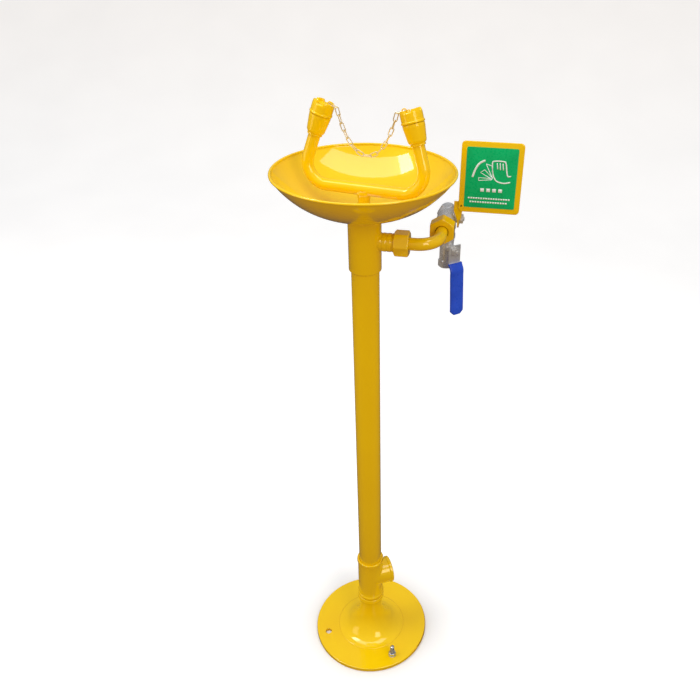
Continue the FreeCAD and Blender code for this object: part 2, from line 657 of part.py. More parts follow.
def make_ball_valve(prefix, place, diameter, boss, arm_thickness):
    """A two-piece ball valve. Its flow runs along Z from the thread at the origin, its stem on X."""
    barrel, thread, waterway = diameter / 2, d.valve_thread / 2, d.ball_bore / 2
    neck = barrel + boss
    chamber, split = d.chamber_diameter / 2, d.valve_length - d.end_length
    ball = d.ball_station
    low, high = ball - d.seat_far, ball + d.seat_far
    corner = (diameter + d.hexagon_rise) / math.sqrt(3)
    body = new_body(f"{prefix}_valve_body", place)
    hexagon_stop = d.valve_hex
    outline = [(0, 0), (barrel, 0), (barrel, split), (0, split)]
    revolve(body, outline)
    hexagon = new_sketch(body, "XY_Plane")
    draw(hexagon, [(corner * cosine(60 * number), corner * sine(60 * number)) for number in range(6)])
    pad(body, hexagon, hexagon_stop)
    neck_sketch = new_sketch(body, "YZ_Plane")
    draw_circle(neck_sketch, d.neck_width / 2, 0, ball)
    pad(body, neck_sketch, neck)
    hollow = [(0, 0), (thread, 0), (thread, d.thread_depth), (waterway, d.thread_depth),
              (waterway, low), (chamber, low), (chamber, split), (0, split)]
    revolve(body, hollow, "Groove")
    bore(body, "YZ_Plane", [(d.stem_diameter / 2 + d.stem_play, 0, ball)], neck, backwards=True)

    end_outline = [(waterway, high), (chamber, high), (chamber, split), (barrel - 1, split),
                   (corner, split + 1), (corner, d.valve_length), (thread, d.valve_length),
                   (thread, split + 1), (waterway, split + 1)]
    blank = hidden(lathe(f"{prefix}_end_blank", end_outline, Place()))
    prism = doc.addObject("Part::Prism", f"{prefix}_end_prism")
    prism.Polygon = 6
    bind(prism, Circumradius=corner, Height=d.valve_length - high)
    prism.setExpression("Placement", Place(z=high).formula)
    end = doc.addObject("Part::Common", f"{prefix}_end_common")
    end.Base = blank
    end.Tool = prism
    settle(end, f"{prefix}_valve_end", place)

    for name, way in (("lower", -1), ("upper", 1)):
        outline = [(waterway, ball + way * d.seat_far), (chamber, ball + way * d.seat_far),
                   (chamber, ball + way * d.seat_near), (d.seat_mouth / 2, ball + way * d.seat_near)]
        lathe(f"{prefix}_{name}_seat", outline, place)

    sphere = doc.addObject("Part::Sphere", f"{prefix}_sphere")
    bind(sphere, Radius=d.ball_diameter / 2)
    passage = doc.addObject("Part::Cylinder", f"{prefix}_passage")
    bind(passage, Radius=waterway, Height=d.ball_diameter * 2)
    passage.setExpression("Placement", Place(z=-d.ball_diameter).formula)
    flat = doc.addObject("Part::Box", f"{prefix}_flat")
    bind(flat, Length=d.ball_diameter, Width=d.ball_diameter * 2, Height=d.ball_diameter * 2)
    flat.setExpression("Placement", Place(d.ball_flat, -d.ball_diameter, -d.ball_diameter).formula)
    tools = doc.addObject("Part::MultiFuse", f"{prefix}_ball_tools")
    tools.Shapes = [passage, flat]
    cut = doc.addObject("Part::Cut", f"{prefix}_ball_cut")
    cut.Base = sphere
    cut.Tool = tools
    settle(cut, f"{prefix}_ball", place * Place(z=ball))

    stem_place = place * Place(z=ball, turns=[(axis_y, 90)])
    shank = d.stem_diameter / 2
    gland_top = neck + d.gland_height
    nut_low = gland_top + d.stem_play * 4 + arm_thickness
    nut_top = nut_low + d.nut_height
    lathe(f"{prefix}_stem", [(0, d.ball_flat), (shank, d.ball_flat), (shank, nut_top + d.stem_tail - 1),
                             (shank - 1, nut_top + d.stem_tail), (0, nut_top + d.stem_tail)],
          stem_place)
    plain_nut(f"{prefix}_gland_nut", d.gland_flats, d.stem_diameter + d.stem_play * 2, neck, gland_top,
              stem_place)
    plain_nut(f"{prefix}_stem_nut", d.nut_flats, d.stem_diameter, nut_low, nut_top, stem_place)
    return nut_low - arm_thickness


def make_rear_elbow(push_end):
    """The street elbow behind the push valve, its male end in the valve, and the nipple below it."""
    reach, side, male, waterway = (d.elbow_reach, d.elbow_diameter / 2, d.valve_thread / 2,
                                   d.feed_bore / 2)
    thread = d.end_length - 1
    place = Place(d.valve_offset, push_end + reach, d.branch_height, [(axis_z, 90)])
    body = new_body("rear_elbow", place)
    ball = [(0, side), (side, 0, side, -1), (0, -side, side, -1)]
    revolve(body, ball)
    revolve(body, [(0, 0), (0, side), (-reach, side), (-reach, male), (-reach - thread, male),
                   (-reach - thread, 0)], axis="H_Axis")
    bead = d.elbow_bead / 2
    revolve(body, [(0, 0), (side, 0), (side, d.bead_width - reach - 2), (bead, d.bead_width - reach),
                   (bead, -reach), (0, -reach)])
    revolve(body, [(0, 0), (waterway, 0), (waterway, thread - reach), (male, thread - reach),
                   (male, -reach), (0, -reach)], "Groove")
    revolve(body, [(0, 0), (0, waterway), (-reach - thread, waterway), (-reach - thread, 0)],
            "Groove", "H_Axis")
    bead_top = d.isolator_drop - reach
    hexagon_low = bead_top / 2 - d.nipple_hex / 2
    hexagon_high = bead_top / 2 + d.nipple_hex / 2
    corner = d.isolator_diameter / math.sqrt(3)
    outline = [(waterway, -thread), (male, -thread), (male, hexagon_low), (corner, hexagon_low),
               (corner, hexagon_high), (male, hexagon_high), (male, bead_top + thread),
               (waterway, bead_top + thread)]
    lathe("elbow_nipple", outline, Place(d.valve_offset, push_end + reach,
                                         d.branch_height - d.isolator_drop))


def slab(label, role, points, thickness, place, both_ways=False, backwards=False):
    """Pad an outline drawn on one of the body's planes."""
    body = new_body(label, place)
    sketch = new_sketch(body, role)
    draw(sketch, points)
    pad(body, sketch, thickness, both_ways, backwards)
    return body


def rounded_outline(left, foot, width, height, corner):
    right, top = left + width, foot + height
    return [(right - corner, foot), (right, foot + corner, corner, 1),
            (right, top - corner), (right - corner, top, corner, 1), (left + corner, top),
            (left, top - corner, corner, 1), (left, foot + corner),
            (left + corner, foot, corner, 1)]


def make_push_assembly(place, station):
    """Arm, plate, sticker and rivets, upright in the frame of the push valve's stem."""
    thick, front = d.sheet_metal, d.push_diameter / 2 - d.arm_tuck
    leg_left = d.push_diameter / 2 - d.leg_tuck
    plate_left = station + 0.8
    hub = hidden(slab("arm_hub", "YZ_Plane",
                      [(-front, 4 - d.arm_foot), (4 - front, -d.arm_foot),
                       (d.arm_back - 4, -d.arm_foot), (d.arm_back, 4 - d.arm_foot), (d.arm_back, 8), (thick - front + 4, d.arm_head),
                       (-front, d.arm_head)], thick, Place(station)))
    leg = hidden(slab("arm_leg", "XZ_Plane",
                      [(leg_left, d.leg_foot + d.leg_cut), (station, d.leg_foot),
                       (station + thick * 2, d.leg_foot), (station + thick * 3, d.plate_foot + 2),
                       (d.leg_right, d.plate_foot + 2),
                       (d.leg_right, d.arm_head), (leg_left, d.arm_head)],
                      thick, Place(y=-front), backwards=True))
    stem_hole = doc.addObject("Part::Cylinder", "arm_stem_hole")
    bind(stem_hole, Radius=d.stem_diameter / 2, Height=thick * 3)
    stem_hole.setExpression("Placement", Place(station - thick, 0, 0, [(axis_y, 90)]).formula)
    folded = doc.addObject("Part::Fuse", "arm_folded")
    folded.Base = hub
    folded.Tool = leg
    rivet_spots = [(d.leg_right - 8 - d.rivet_pitch * number, (d.plate_foot + d.arm_head) / 2 + 2)
                   for number in range(2)]
    shanks = []
    for number, (across, up) in enumerate(rivet_spots):
        shank = doc.addObject("Part::Cylinder", f"rivet_{number}")
        bind(shank, Radius=d.rivet_diameter / 2, Height=thick * 2)
        shank.setExpression("Placement", Place(across, thick - front, up, [(axis_x, 90)]).formula)
        shanks.append(shank)
    holes = doc.addObject("Part::MultiFuse", "arm_holes")
    holes.Shapes = [stem_hole] + shanks
    arm = doc.addObject("Part::Cut", "arm_cut")
    arm.Base = folded
    arm.Tool = holes
    settle(arm, "push_arm", place)
    rivets = doc.addObject("Part::Compound", "rivet_pair")
    rivets.Links = shanks
    settle(rivets, "plate_rivets", place)
    outline = rounded_outline(plate_left, d.plate_foot, d.plate_width, d.plate_height,
                              d.plate_corner)
    plate = slab("push_plate", "XZ_Plane", outline, thick, place * Place(y=-front))
    bore(plate, "XZ_Plane", [(d.rivet_diameter / 2, across, up) for across, up in rivet_spots])
    margin = d.sticker_margin
    outline = rounded_outline(plate_left + margin, d.plate_foot + margin,
                              d.plate_width - margin * 2, d.plate_height - margin * 2,
                              d.plate_corner)
    slab("push_sticker", "XZ_Plane", outline, d.sticker_thickness, place * Place(y=-front - thick))


def pointed_strip(label, side_outline, half_width, top, end, point):
    """A bent strip: its side outline, narrowed to a blunt point at its far end."""
    side = hidden(slab(f"{label}_side", "XZ_Plane", side_outline, half_width * 2, Place(),
                       both_ways=True))
    face = hidden(slab(f"{label}_face", "YZ_Plane",
                       [(-half_width, top), (-half_width, point - end), (point - half_width, -end),
                        (half_width - point, -end), (half_width, point - end), (half_width, top)],
                       d.lever_shift * 6, Place(), both_ways=True))
    strip = doc.addObject("Part::Common", f"{label}_strip")
    strip.Base = side
    strip.Tool = face
    return strip


def bent_side(skin, top, end):
    """The side outline of the lever, or of the sleeve that lies one skin outside it."""
    low, shift, sheet = -d.lever_step, d.lever_shift, d.lever_sheet
    bottom = low - d.lever_slope
    far = shift + d.lever_flare
    return [(-skin, top), (-skin, low - skin / 2), (shift - skin, bottom - skin / 2),
            (far - skin, -end), (far + sheet + skin, -end),
            (shift + sheet + skin, bottom + 1 + skin / 2), (sheet + skin, low + 1 + skin / 2),
            (sheet + skin, top)]


def make_lever(place, station):
    """The isolating lever hanging along its valve, and the dipped sleeve round its far end."""
    skin, end = d.sleeve_skin, d.lever_end
    half = d.lever_width / 2
    strip = pointed_strip("lever", bent_side(size(0), d.lever_hub, end), half, d.lever_hub, end,
                          d.sleeve_point)
    stem_hole = doc.addObject("Part::Cylinder", "lever_stem_hole")
    bind(stem_hole, Radius=d.stem_diameter / 2, Height=d.lever_sheet * 3)
    stem_hole.setExpression("Placement", Place(-d.lever_sheet, 0, 0, [(axis_y, 90)]).formula)
    lever = doc.addObject("Part::Cut", "lever_cut")
    lever.Base = strip
    lever.Tool = stem_hole
    settle(lever, "isolator_lever", place * Place(station))
    sleeve_end = end + skin
    outer = pointed_strip("sleeve", bent_side(skin, -d.sleeve_start, sleeve_end), half + skin,
                          -d.sleeve_start, sleeve_end, d.sleeve_point)
    sleeve = doc.addObject("Part::Cut", "sleeve_cut")
    sleeve.Base = outer
    sleeve.Tool = strip
    settle(sleeve, "lever_sleeve", place * Place(station))


# Floor anchor at the front right.

def make_anchor():
    place = Place(*anchor_spot(d.anchor_right), d.base_thickness)
    washer_top = d.washer_thickness
    ring("anchor_washer", d.stud_diameter, d.washer_diameter, size(0), washer_top, place)
    plain_nut("anchor_nut", d.anchor_flats, d.stud_diameter, washer_top, washer_top + d.anchor_nut,
              place)
    stud = d.stud_diameter / 2
    top = d.stud_length - d.base_thickness
    lathe("anchor_stud", [(0, -d.base_thickness), (stud, -d.base_thickness), (stud, top - 1),
                          (stud - 1, top), (0, top)], place)


make_base()
make_blank_nipple()
make_waste_tee()
make_stand_pipe()
make_collar_tee()
make_bowl()
make_bowl_waste()
make_feed_elbow()
make_riser()
make_spray_yoke()
left_head = make_head("left", -1)
right_head = make_head("right", 1)
make_chain(chain_spots(left_head, -1), chain_spots(right_head, 1))
make_supply()
valve_start = d.valve_union + d.spigot_shoulder
push_place = Place(d.valve_offset, valve_start, d.branch_height, [(axis_x, -90)])
push_station = make_ball_valve("push", push_place, d.push_diameter, d.push_boss, d.sheet_metal)
push_end = valve_start + d.valve_length
make_rear_elbow(push_end)
stem_place = Place(d.valve_offset, valve_start + d.ball_station, d.branch_height,
                   [(axis_x, -d.plate_tilt)])
make_push_assembly(stem_place, push_station)
isolator_low = d.branch_height - d.isolator_drop - d.valve_length
isolator_place = Place(d.valve_offset, push_end + d.elbow_reach, isolator_low,
                       [(axis_z, -d.isolator_turn)])
isolator_station = make_ball_valve("isolator", isolator_place, d.isolator_diameter,
                                   d.isolator_boss, d.lever_sheet)
make_lever(isolator_place * Place(z=d.ball_station), isolator_station)
make_anchor()
doc.recompute()

for item in doc.Objects:
    if "Invalid" in item.State or "Error" in item.State:
        raise RuntimeError(f"{item.Name} ({item.Label}) failed: {item.State}")
os.makedirs("parts", exist_ok=True)
for item in subparts:
    if item.Shape.isNull() or not item.Shape.isValid():
        raise RuntimeError(f"{item.Label} has no valid shape")
    item.Shape.exportStep(f"parts/{item.Label}.step")
print(f"{len(subparts)} sub-parts written")
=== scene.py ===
import bpy
import bmesh
import json
import math
import numpy as np
from mathutils import Matrix, Vector


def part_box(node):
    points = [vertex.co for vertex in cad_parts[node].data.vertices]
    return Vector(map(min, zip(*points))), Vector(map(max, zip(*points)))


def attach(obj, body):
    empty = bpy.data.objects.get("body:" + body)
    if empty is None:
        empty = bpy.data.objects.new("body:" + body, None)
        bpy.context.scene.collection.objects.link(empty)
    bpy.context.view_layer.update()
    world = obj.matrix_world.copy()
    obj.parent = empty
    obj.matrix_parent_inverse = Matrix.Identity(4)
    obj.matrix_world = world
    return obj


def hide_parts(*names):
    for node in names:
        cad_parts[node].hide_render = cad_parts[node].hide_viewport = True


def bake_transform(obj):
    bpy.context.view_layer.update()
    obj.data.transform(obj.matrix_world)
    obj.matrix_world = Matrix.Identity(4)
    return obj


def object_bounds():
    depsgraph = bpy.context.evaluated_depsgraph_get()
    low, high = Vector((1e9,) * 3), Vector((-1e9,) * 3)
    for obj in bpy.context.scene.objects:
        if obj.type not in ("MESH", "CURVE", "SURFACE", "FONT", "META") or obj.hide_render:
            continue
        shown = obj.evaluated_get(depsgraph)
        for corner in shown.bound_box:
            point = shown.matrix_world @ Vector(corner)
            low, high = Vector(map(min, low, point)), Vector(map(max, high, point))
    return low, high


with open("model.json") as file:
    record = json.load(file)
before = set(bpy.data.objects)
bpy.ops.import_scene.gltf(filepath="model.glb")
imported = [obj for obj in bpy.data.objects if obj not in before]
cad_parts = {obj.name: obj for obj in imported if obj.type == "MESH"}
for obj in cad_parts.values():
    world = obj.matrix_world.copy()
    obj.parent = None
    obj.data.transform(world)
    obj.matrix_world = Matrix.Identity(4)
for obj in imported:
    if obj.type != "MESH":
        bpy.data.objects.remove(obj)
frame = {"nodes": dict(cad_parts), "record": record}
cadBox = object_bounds()
slotOf = {part["node"]: part["material_slot"] for part in frame["record"]["subparts"]}
bodyOf = {node: body for body, nodes in frame["record"]["behaviour"]["bodies"].items() for node in nodes}
jointOf = {joint["name"]: joint for joint in frame["record"]["behaviour"]["joints"]}
print("frame loaded:", len(frame["nodes"]), "nodes")

mm = 0.001
groundZ = cadBox[0][2]
grainDepth = 0.3 * mm
right, away, up = np.eye(3)

# the camera stands in front, a little to the user's right, and looks down into the bowl
camera = dict(place=(0.2028, -0.9543, 1.2899), heading=8.946, pitch=32.21, roll=0.63, lens=37.1, shiftX=-0.0703)


def makeCamera():
    data = bpy.data.cameras.new("viewCamera")
    data.lens = camera["lens"]
    data.shift_x = camera["shiftX"]
    cam = bpy.data.objects.new("viewCamera", data)
    bpy.context.collection.objects.link(cam)
    turn = (Matrix.Rotation(math.radians(camera["heading"]), 4, "Z")
            @ Matrix.Rotation(math.radians(90 - camera["pitch"]), 4, "X")
            @ Matrix.Rotation(math.radians(camera["roll"]), 4, "Z"))
    cam.matrix_world = Matrix.Translation(camera["place"]) @ turn
    bpy.context.scene.camera = cam


makeCamera()
print("camera ready")


def newMaterial(name, **sockets):
    mat = bpy.data.materials.new(name)
    mat.use_nodes = True
    shader = mat.node_tree.nodes["Principled BSDF"]
    for socket, value in sockets.items():
        shader.inputs[socket.replace("_", " ")].default_value = value
    return mat, mat.node_tree.nodes, mat.node_tree.links, shader


def objectCoords(nodes, links, scale=(1, 1, 1), turn=(0, 0, 0)):
    coord = nodes.new("ShaderNodeTexCoord")
    mapping = nodes.new("ShaderNodeMapping")
    mapping.inputs["Scale"].default_value = scale
    mapping.inputs["Rotation"].default_value = turn
    links.new(coord.outputs["Object"], mapping.inputs["Vector"])
    return mapping.outputs["Vector"]


def noise(nodes, links, vector, scale, detail=3, roughness=0.5):
    tex = nodes.new("ShaderNodeTexNoise")
    tex.inputs["Scale"].default_value = scale
    tex.inputs["Detail"].default_value = detail
    tex.inputs["Roughness"].default_value = roughness
    links.new(vector, tex.inputs["Vector"])
    return tex.outputs["Fac"]


def ramp(nodes, links, fac, stops):
    node = nodes.new("ShaderNodeValToRGB")
    elements = node.color_ramp.elements
    while len(elements) < len(stops):
        elements.new(0.5)
    for element, (place, color) in zip(elements, stops):
        element.position = place
        element.color = color
    links.new(fac, node.inputs["Fac"])
    return node.outputs["Color"]


def spread(nodes, links, fac, low, high, fromLow=0.3, fromHigh=0.7):
    node = nodes.new("ShaderNodeMapRange")
    node.inputs["From Min"].default_value = fromLow
    node.inputs["From Max"].default_value = fromHigh
    node.inputs["To Min"].default_value = low
    node.inputs["To Max"].default_value = high
    links.new(fac, node.inputs["Value"])
    return node.outputs["Result"]


def mixColors(nodes, links, fac, first, second):
    node = nodes.new("ShaderNodeMix")
    node.data_type = "RGBA"
    links.new(fac, node.inputs["Factor"])
    for socket, value in ((6, first), (7, second)):
        if isinstance(value, tuple):
            node.inputs[socket].default_value = value
        else:
            links.new(value, node.inputs[socket])
    return node.outputs[2]


def addBump(nodes, links, shader, height, strength, distance=grainDepth):
    bump = nodes.new("ShaderNodeBump")
    bump.inputs["Strength"].default_value = strength
    bump.inputs["Distance"].default_value = distance
    links.new(height, bump.inputs["Height"])
    links.new(bump.outputs["Normal"], shader.inputs["Normal"])


def sharpEdgeMask(nodes, links, low, high):
    # how sharply the surface bends outward: 0 on faces, 1 along sharp edges
    geometry = nodes.new("ShaderNodeNewGeometry")
    return spread(nodes, links, geometry.outputs["Pointiness"], 0, 1, low, high)


# dark is the coat's shaded tone, painted as shade along sharp edges over the range of pointiness given in the last
# entry
coat = dict(skin=(1, 0.74, 0.1, 1), light=(0.90, 0.61, 0.001, 1), middle=(0.87, 0.56, 0.001, 1),
            dark=(0.76, 0.40, 0.001, 1), driftScale=7, cloudScale=34, peelScale=520, skinRough=0.035, skinIndex=1.7,
            shadedEdgeRange=(0.53, 0.62))


def yellowCoat(name, peel, rough, coatWeight):
    # gloss powder coat: slow drift of thickness, painted shade in a darker, more orange tone along sharp edges,
    # orange peel, clear skin
    mat, nodes, links, shader = newMaterial(name, Coat_Weight=coatWeight, Coat_Roughness=coat["skinRough"],
                                            Coat_IOR=coat["skinIndex"], IOR=1.5,
                                            Specular_Tint=coat["skin"], Specular_IOR_Level=0.3)
    vector = objectCoords(nodes, links)
    drift = ramp(nodes, links, noise(nodes, links, vector, coat["driftScale"], 3),
                 [(0.3, coat["middle"]), (0.72, coat["light"])])
    # painted shade: the dark shaded tone is mixed in along sharp edges
    edgeShaded = mixColors(nodes, links, sharpEdgeMask(nodes, links, *coat["shadedEdgeRange"]), drift, coat["dark"])
    links.new(edgeShaded, shader.inputs["Base Color"])
    clouds = noise(nodes, links, vector, coat["cloudScale"], 4)
    links.new(spread(nodes, links, clouds, *rough), shader.inputs["Roughness"])
    addBump(nodes, links, shader, noise(nodes, links, vector, coat["peelScale"], 2), peel)
    return mat


metal = dict(mottleScale=110, detail=4, roughness=0.6)


def plateMetal(name, light, dark, rough, grain, strength, stretch=(1, 1, 1), metallic=1.0):
    # plated or bare metal: mottled tone, dull film, and a grain that may be drawn out into brush marks
    mat, nodes, links, shader = newMaterial(name, Metallic=metallic)
    plain = objectCoords(nodes, links)
    mottled = noise(nodes, links, plain, metal["mottleScale"], metal["detail"], metal["roughness"])
    links.new(ramp(nodes, links, mottled, [(0.3, dark), (0.7, light)]), shader.inputs["Base Color"])
    drawn = objectCoords(nodes, links, stretch)
    fine = noise(nodes, links, drawn, grain, metal["detail"], metal["roughness"])
    links.new(spread(nodes, links, fine, *rough), shader.inputs["Roughness"])
    addBump(nodes, links, shader, fine, strength)
    return mat


plastic = dict(shine=0.3, scatter=2 * mm, mottleScale=40)


def softPlastic(name, light, dark, rough, grain, strength, subsurface=0.0):
    # moulded or printed colour: a faint mottle, a fine grain, and light that may scatter under the skin
    mat, nodes, links, shader = newMaterial(name, Subsurface_Weight=subsurface, Specular_IOR_Level=plastic["shine"])
    shader.inputs["Subsurface Scale"].default_value = plastic["scatter"]
    vector = objectCoords(nodes, links)
    mottled = noise(nodes, links, vector, plastic["mottleScale"])
    links.new(ramp(nodes, links, mottled, [(0.3, dark), (0.7, light)]), shader.inputs["Base Color"])
    fine = noise(nodes, links, vector, grain, 3)
    links.new(spread(nodes, links, fine, *rough), shader.inputs["Roughness"])
    addBump(nodes, links, shader, fine, strength)
    return mat


weave = dict(scale=600, gapShade=(0.1, 0.1, 0.1, 1), wire=(0.62, 0.62, 0.62, 1), strength=0.6, depth=0.4 * mm)


def wovenMesh(name):
    # woven wire: two crossed wave patterns for the strands, with painted shade in the gaps
    mat, nodes, links, shader = newMaterial(name, Metallic=1.0, Roughness=0.35)
    waves = []
    for turn in ((0, 0, 0), (0, 0, math.pi / 2)):
        wave = nodes.new("ShaderNodeTexWave")
        wave.inputs["Scale"].default_value = weave["scale"]
        links.new(objectCoords(nodes, links, turn=turn), wave.inputs["Vector"])
        waves.append(wave.outputs["Fac"])
    both = nodes.new("ShaderNodeMath")
    both.operation = "MAXIMUM"
    links.new(waves[0], both.inputs[0])
    links.new(waves[1], both.inputs[1])
    # painted shade: the darkest tone fills the gaps between the strands
    links.new(ramp(nodes, links, both.outputs[0], [(0.4, weave["gapShade"]), (0.8, weave["wire"])]),
              shader.inputs["Base Color"])
    addBump(nodes, links, shader, both.outputs[0], weave["strength"], weave["depth"])
    return mat


# each row: name, light and dark tone, range of roughness, grain scale, bump strength
materials = {
    "yellow_coat": yellowCoat("yellowCoat", 0.05, (0.16, 0.26), 0.75),
    "yellow_plastic": yellowCoat("yellowCasting", 0.09, (0.22, 0.34), 0.5),
    "nickel": plateMetal("nickelPlate", (0.79, 0.83, 0.88, 1), (0.53, 0.56, 0.61, 1), (0.16, 0.4), 900, 0.3,
                         metallic=0.5),
    "steel": plateMetal("brushedSteel", (0.79, 0.82, 0.86, 1), (0.57, 0.60, 0.64, 1), (0.24, 0.45), 500, 0.25,
                        (1, 1, 0.08), 0.55),
    "bright_ball": plateMetal("polishedBall", (0.8, 0.8, 0.82, 1), (0.7, 0.7, 0.72, 1), (0.05, 0.1), 300, 0.02),
    "zinc": plateMetal("zincPlate", (0.80, 0.81, 0.85, 1), (0.60, 0.61, 0.67, 1), (0.14, 0.3), 700, 0.1),
    "seal_rubber": softPlastic("sealRubber", (0.03, 0.03, 0.03, 1), (0.015, 0.015, 0.015, 1), (0.6, 0.8), 600, 0.2),
    "seat_plastic": softPlastic("seatPlastic", (0.85, 0.85, 0.82, 1), (0.75, 0.75, 0.72, 1),
                                (0.35, 0.5), 400, 0.05),
    "filter_mesh": wovenMesh("wovenFilter"),
    "chain_metal": plateMetal("paleChain", (0.95, 0.86, 0.64, 1), (0.78, 0.66, 0.42, 1), (0.14, 0.32), 900, 0.1,
                              metallic=0.6),
    "blue_grip": softPlastic("dippedVinyl", (0.024, 0.10, 0.80, 1), (0.016, 0.075, 0.66, 1), (0.24, 0.4), 260, 0.2,
                             0.04),
    "green_label": softPlastic("printedFilm", (0.0, 0.50, 0.17, 1), (0.0, 0.43, 0.14, 1), (0.24, 0.34), 300, 0.03),
}
whiteInk = softPlastic("whiteInk", (0.85, 0.94, 0.98, 1), (0.78, 0.88, 0.93, 1), (0.3, 0.4), 300, 0.03)
print("materials ready:", len(materials) + 1)


def gridMesh(name, *grids):
    # each grid is (points, closeU, closeV): nu by nv places whose neighbours are joined by faces
    places, faces, start = [], [], 0
    for points, closeU, closeV in grids:
        nu, nv = points.shape[:2]
        a, b = np.meshgrid(np.arange(nu if closeU else nu - 1), np.arange(nv if closeV else nv - 1), indexing="ij")
        a2, b2 = (a + 1) % nu, (b + 1) % nv
        quads = np.stack([a * nv + b, a2 * nv + b, a2 * nv + b2, a * nv + b2], axis=-1).reshape(-1, 4)
        places.append(points.reshape(-1, 3))
        faces.append(quads + start)
        start += nu * nv
    mesh = bpy.data.meshes.new(name)
    mesh.from_pydata(np.concatenate(places).tolist(), [], np.concatenate(faces).tolist())
    work = bmesh.new()
    work.from_mesh(mesh)
    bmesh.ops.remove_doubles(work, verts=work.verts, dist=1e-7)
    bmesh.ops.recalc_face_normals(work, faces=work.faces)
    for face in work.faces:
        face.smooth = True
    work.to_mesh(mesh)
    work.free()
    piece = bpy.data.objects.new(name, mesh)
    bpy.context.collection.objects.link(piece)
    return piece


def finish(piece, *nodes, mat=None):
    # paint a piece, hang it on its body and let it stand for its nodes
    slot = slotOf[nodes[0]]
    piece.data.materials.clear()
    piece.data.materials.append(mat or materials[slot])
    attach(piece, bodyOf[nodes[0]])
    if mat is None:
        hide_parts(*nodes)
    return piece


def unit(vector):
    vector = np.asarray(vector, float)
    return vector / np.linalg.norm(vector)


def corners(node):
    mesh = frame["nodes"][node].data
    flat = np.empty(len(mesh.vertices) * 3)
    mesh.vertices.foreach_get("co", flat)
    return flat.reshape(-1, 3)


class Axes:
    # a place with three square directions; put turns local (x, y, z) grids into the object's frame
    def __init__(self, spot, x, z):
        self.spot = np.asarray(spot, float)
        self.z = unit(z)
        self.x = unit(np.asarray(x, float) - np.dot(x, self.z) * self.z)
        self.y = np.cross(self.z, self.x)

    def put(self, points):
        return self.spot + points[..., :1] * self.x + points[..., 1:2] * self.y + points[..., 2:] * self.z

    def look(self, points):
        return (points - self.spot) @ np.stack([self.x, self.y, self.z], axis=1)


def alongAxis(node, x, z):
    # axes at the low end of a turned node, on its own centre line, with its length and widest radius
    loose = Axes((0, 0, 0), x, z)
    local = loose.look(corners(node))
    low, high = local.min(axis=0), local.max(axis=0)
    middle = (low + high) / 2
    middle[2] = low[2]
    return Axes(loose.put(middle), x, z), high[2] - low[2], (high[0] - low[0]) / 2


def softened(points, radius, steps=5, closed=True):
    # every corner becomes a small parabola between places one radius before and after it
    points = np.asarray(points, float)
    before, after = np.roll(points, 1, axis=0), np.roll(points, -1, axis=0)
    toBefore, toAfter = before - points, after - points
    reachBefore = np.linalg.norm(toBefore, axis=1, keepdims=True)
    reachAfter = np.linalg.norm(toAfter, axis=1, keepdims=True)
    start = points + toBefore * np.minimum(radius / reachBefore, 0.48)
    end = points + toAfter * np.minimum(radius / reachAfter, 0.48)
    t = np.linspace(0, 1, steps)[None, :, None]
    curve = (1 - t)**2 * start[:, None] + 2 * t * (1 - t) * points[:, None] + t**2 * end[:, None]
    if not closed:
        curve[0], curve[-1] = points[0], points[-1]
    return curve.reshape(-1, points.shape[1])


def arc(centre, radius, start, stop, count):
    angle = np.radians(np.linspace(start, stop, count))
    return np.stack([centre[0] + radius * np.cos(angle), centre[1] + radius * np.sin(angle)], axis=-1)


def arcThrough(first, last, radius, count, side=1):
    # places on the circle of this radius through two points; side 1 puts the centre left of the way
    first, last = np.asarray(first, float), np.asarray(last, float)
    way = last - first
    length = np.linalg.norm(way)
    left = np.array([-way[1], way[0]]) / length
    centre = (first + last) / 2 + left * math.sqrt(radius**2 - length**2 / 4) * side
    angles = np.degrees(np.unwrap([math.atan2(*(p - centre)[::-1]) for p in (first, last)]))
    return arc(centre, radius, angles[0], angles[1], count)


def turned(profile, axes, count=96, swell=None):
    # radius and height pairs carried round the axis: (r cos a, r sin a, h), with an optional change of shape
    profile = np.asarray(profile, float)
    angle = np.linspace(0, 2 * math.pi, count, endpoint=False)[None, :]
    radius = np.repeat(profile[:, :1], count, axis=1)
    height = np.repeat(profile[:, 1:], count, axis=1)
    if swell is not None:
        radius, height = swell(radius, height, angle)
    grid = np.stack([radius * np.cos(angle), radius * np.sin(angle), height], axis=-1)
    return axes.put(grid), True, True


def swept(path, radius, normal, count):
    # a round section carried along a path that lies square to one normal, closed at both ends
    path = np.asarray(path, float)
    tangent = np.gradient(path, axis=0)
    tangent /= np.linalg.norm(tangent, axis=1, keepdims=True)
    normal = np.broadcast_to(unit(normal), path.shape)
    side = np.cross(tangent, normal)
    radius = np.broadcast_to(radius, path.shape[0])[:, None, None]
    angle = np.linspace(0, 2 * math.pi, count, endpoint=False)[None, :, None]
    rings = path[:, None] + radius * (np.cos(angle) * side[:, None] + np.sin(angle) * normal[:, None])
    ends = [np.repeat(path[end][None, None], count, axis=1) for end in (0, -1)]
    return np.concatenate([ends[0], rings, ends[1]]), False, True


nutLook = dict(rounding=0.6 * mm, blend=0.35 * mm, count=144)


def nut(axes, flats, bevel, low, high, bore, turn):
    # a turned outline with coned ends, cut to a hexagon: its radius is half of (hexagon + outline less the
    # root of their squared difference plus the blend squared), which is a rounded lesser of the two
    corner = flats / math.sqrt(3)
    rows = softened([(bore, low), (corner - bevel, low), (corner, low + bevel * 0.6), (corner, high - bevel * 0.6),
                     (corner - bevel, high), (bore, high)], nutLook["rounding"])

    def swell(radius, height, angle):
        turnedAngle = (angle - turn + math.pi / 6) % (math.pi / 3) - math.pi / 6
        limit = flats / 2 / np.cos(turnedAngle)
        least = limit + radius - np.sqrt((limit - radius)**2 + nutLook["blend"]**2)
        return np.where(radius > bore * 1.02, least / 2, radius), height

    return turned(rows, axes, nutLook["count"], swell)


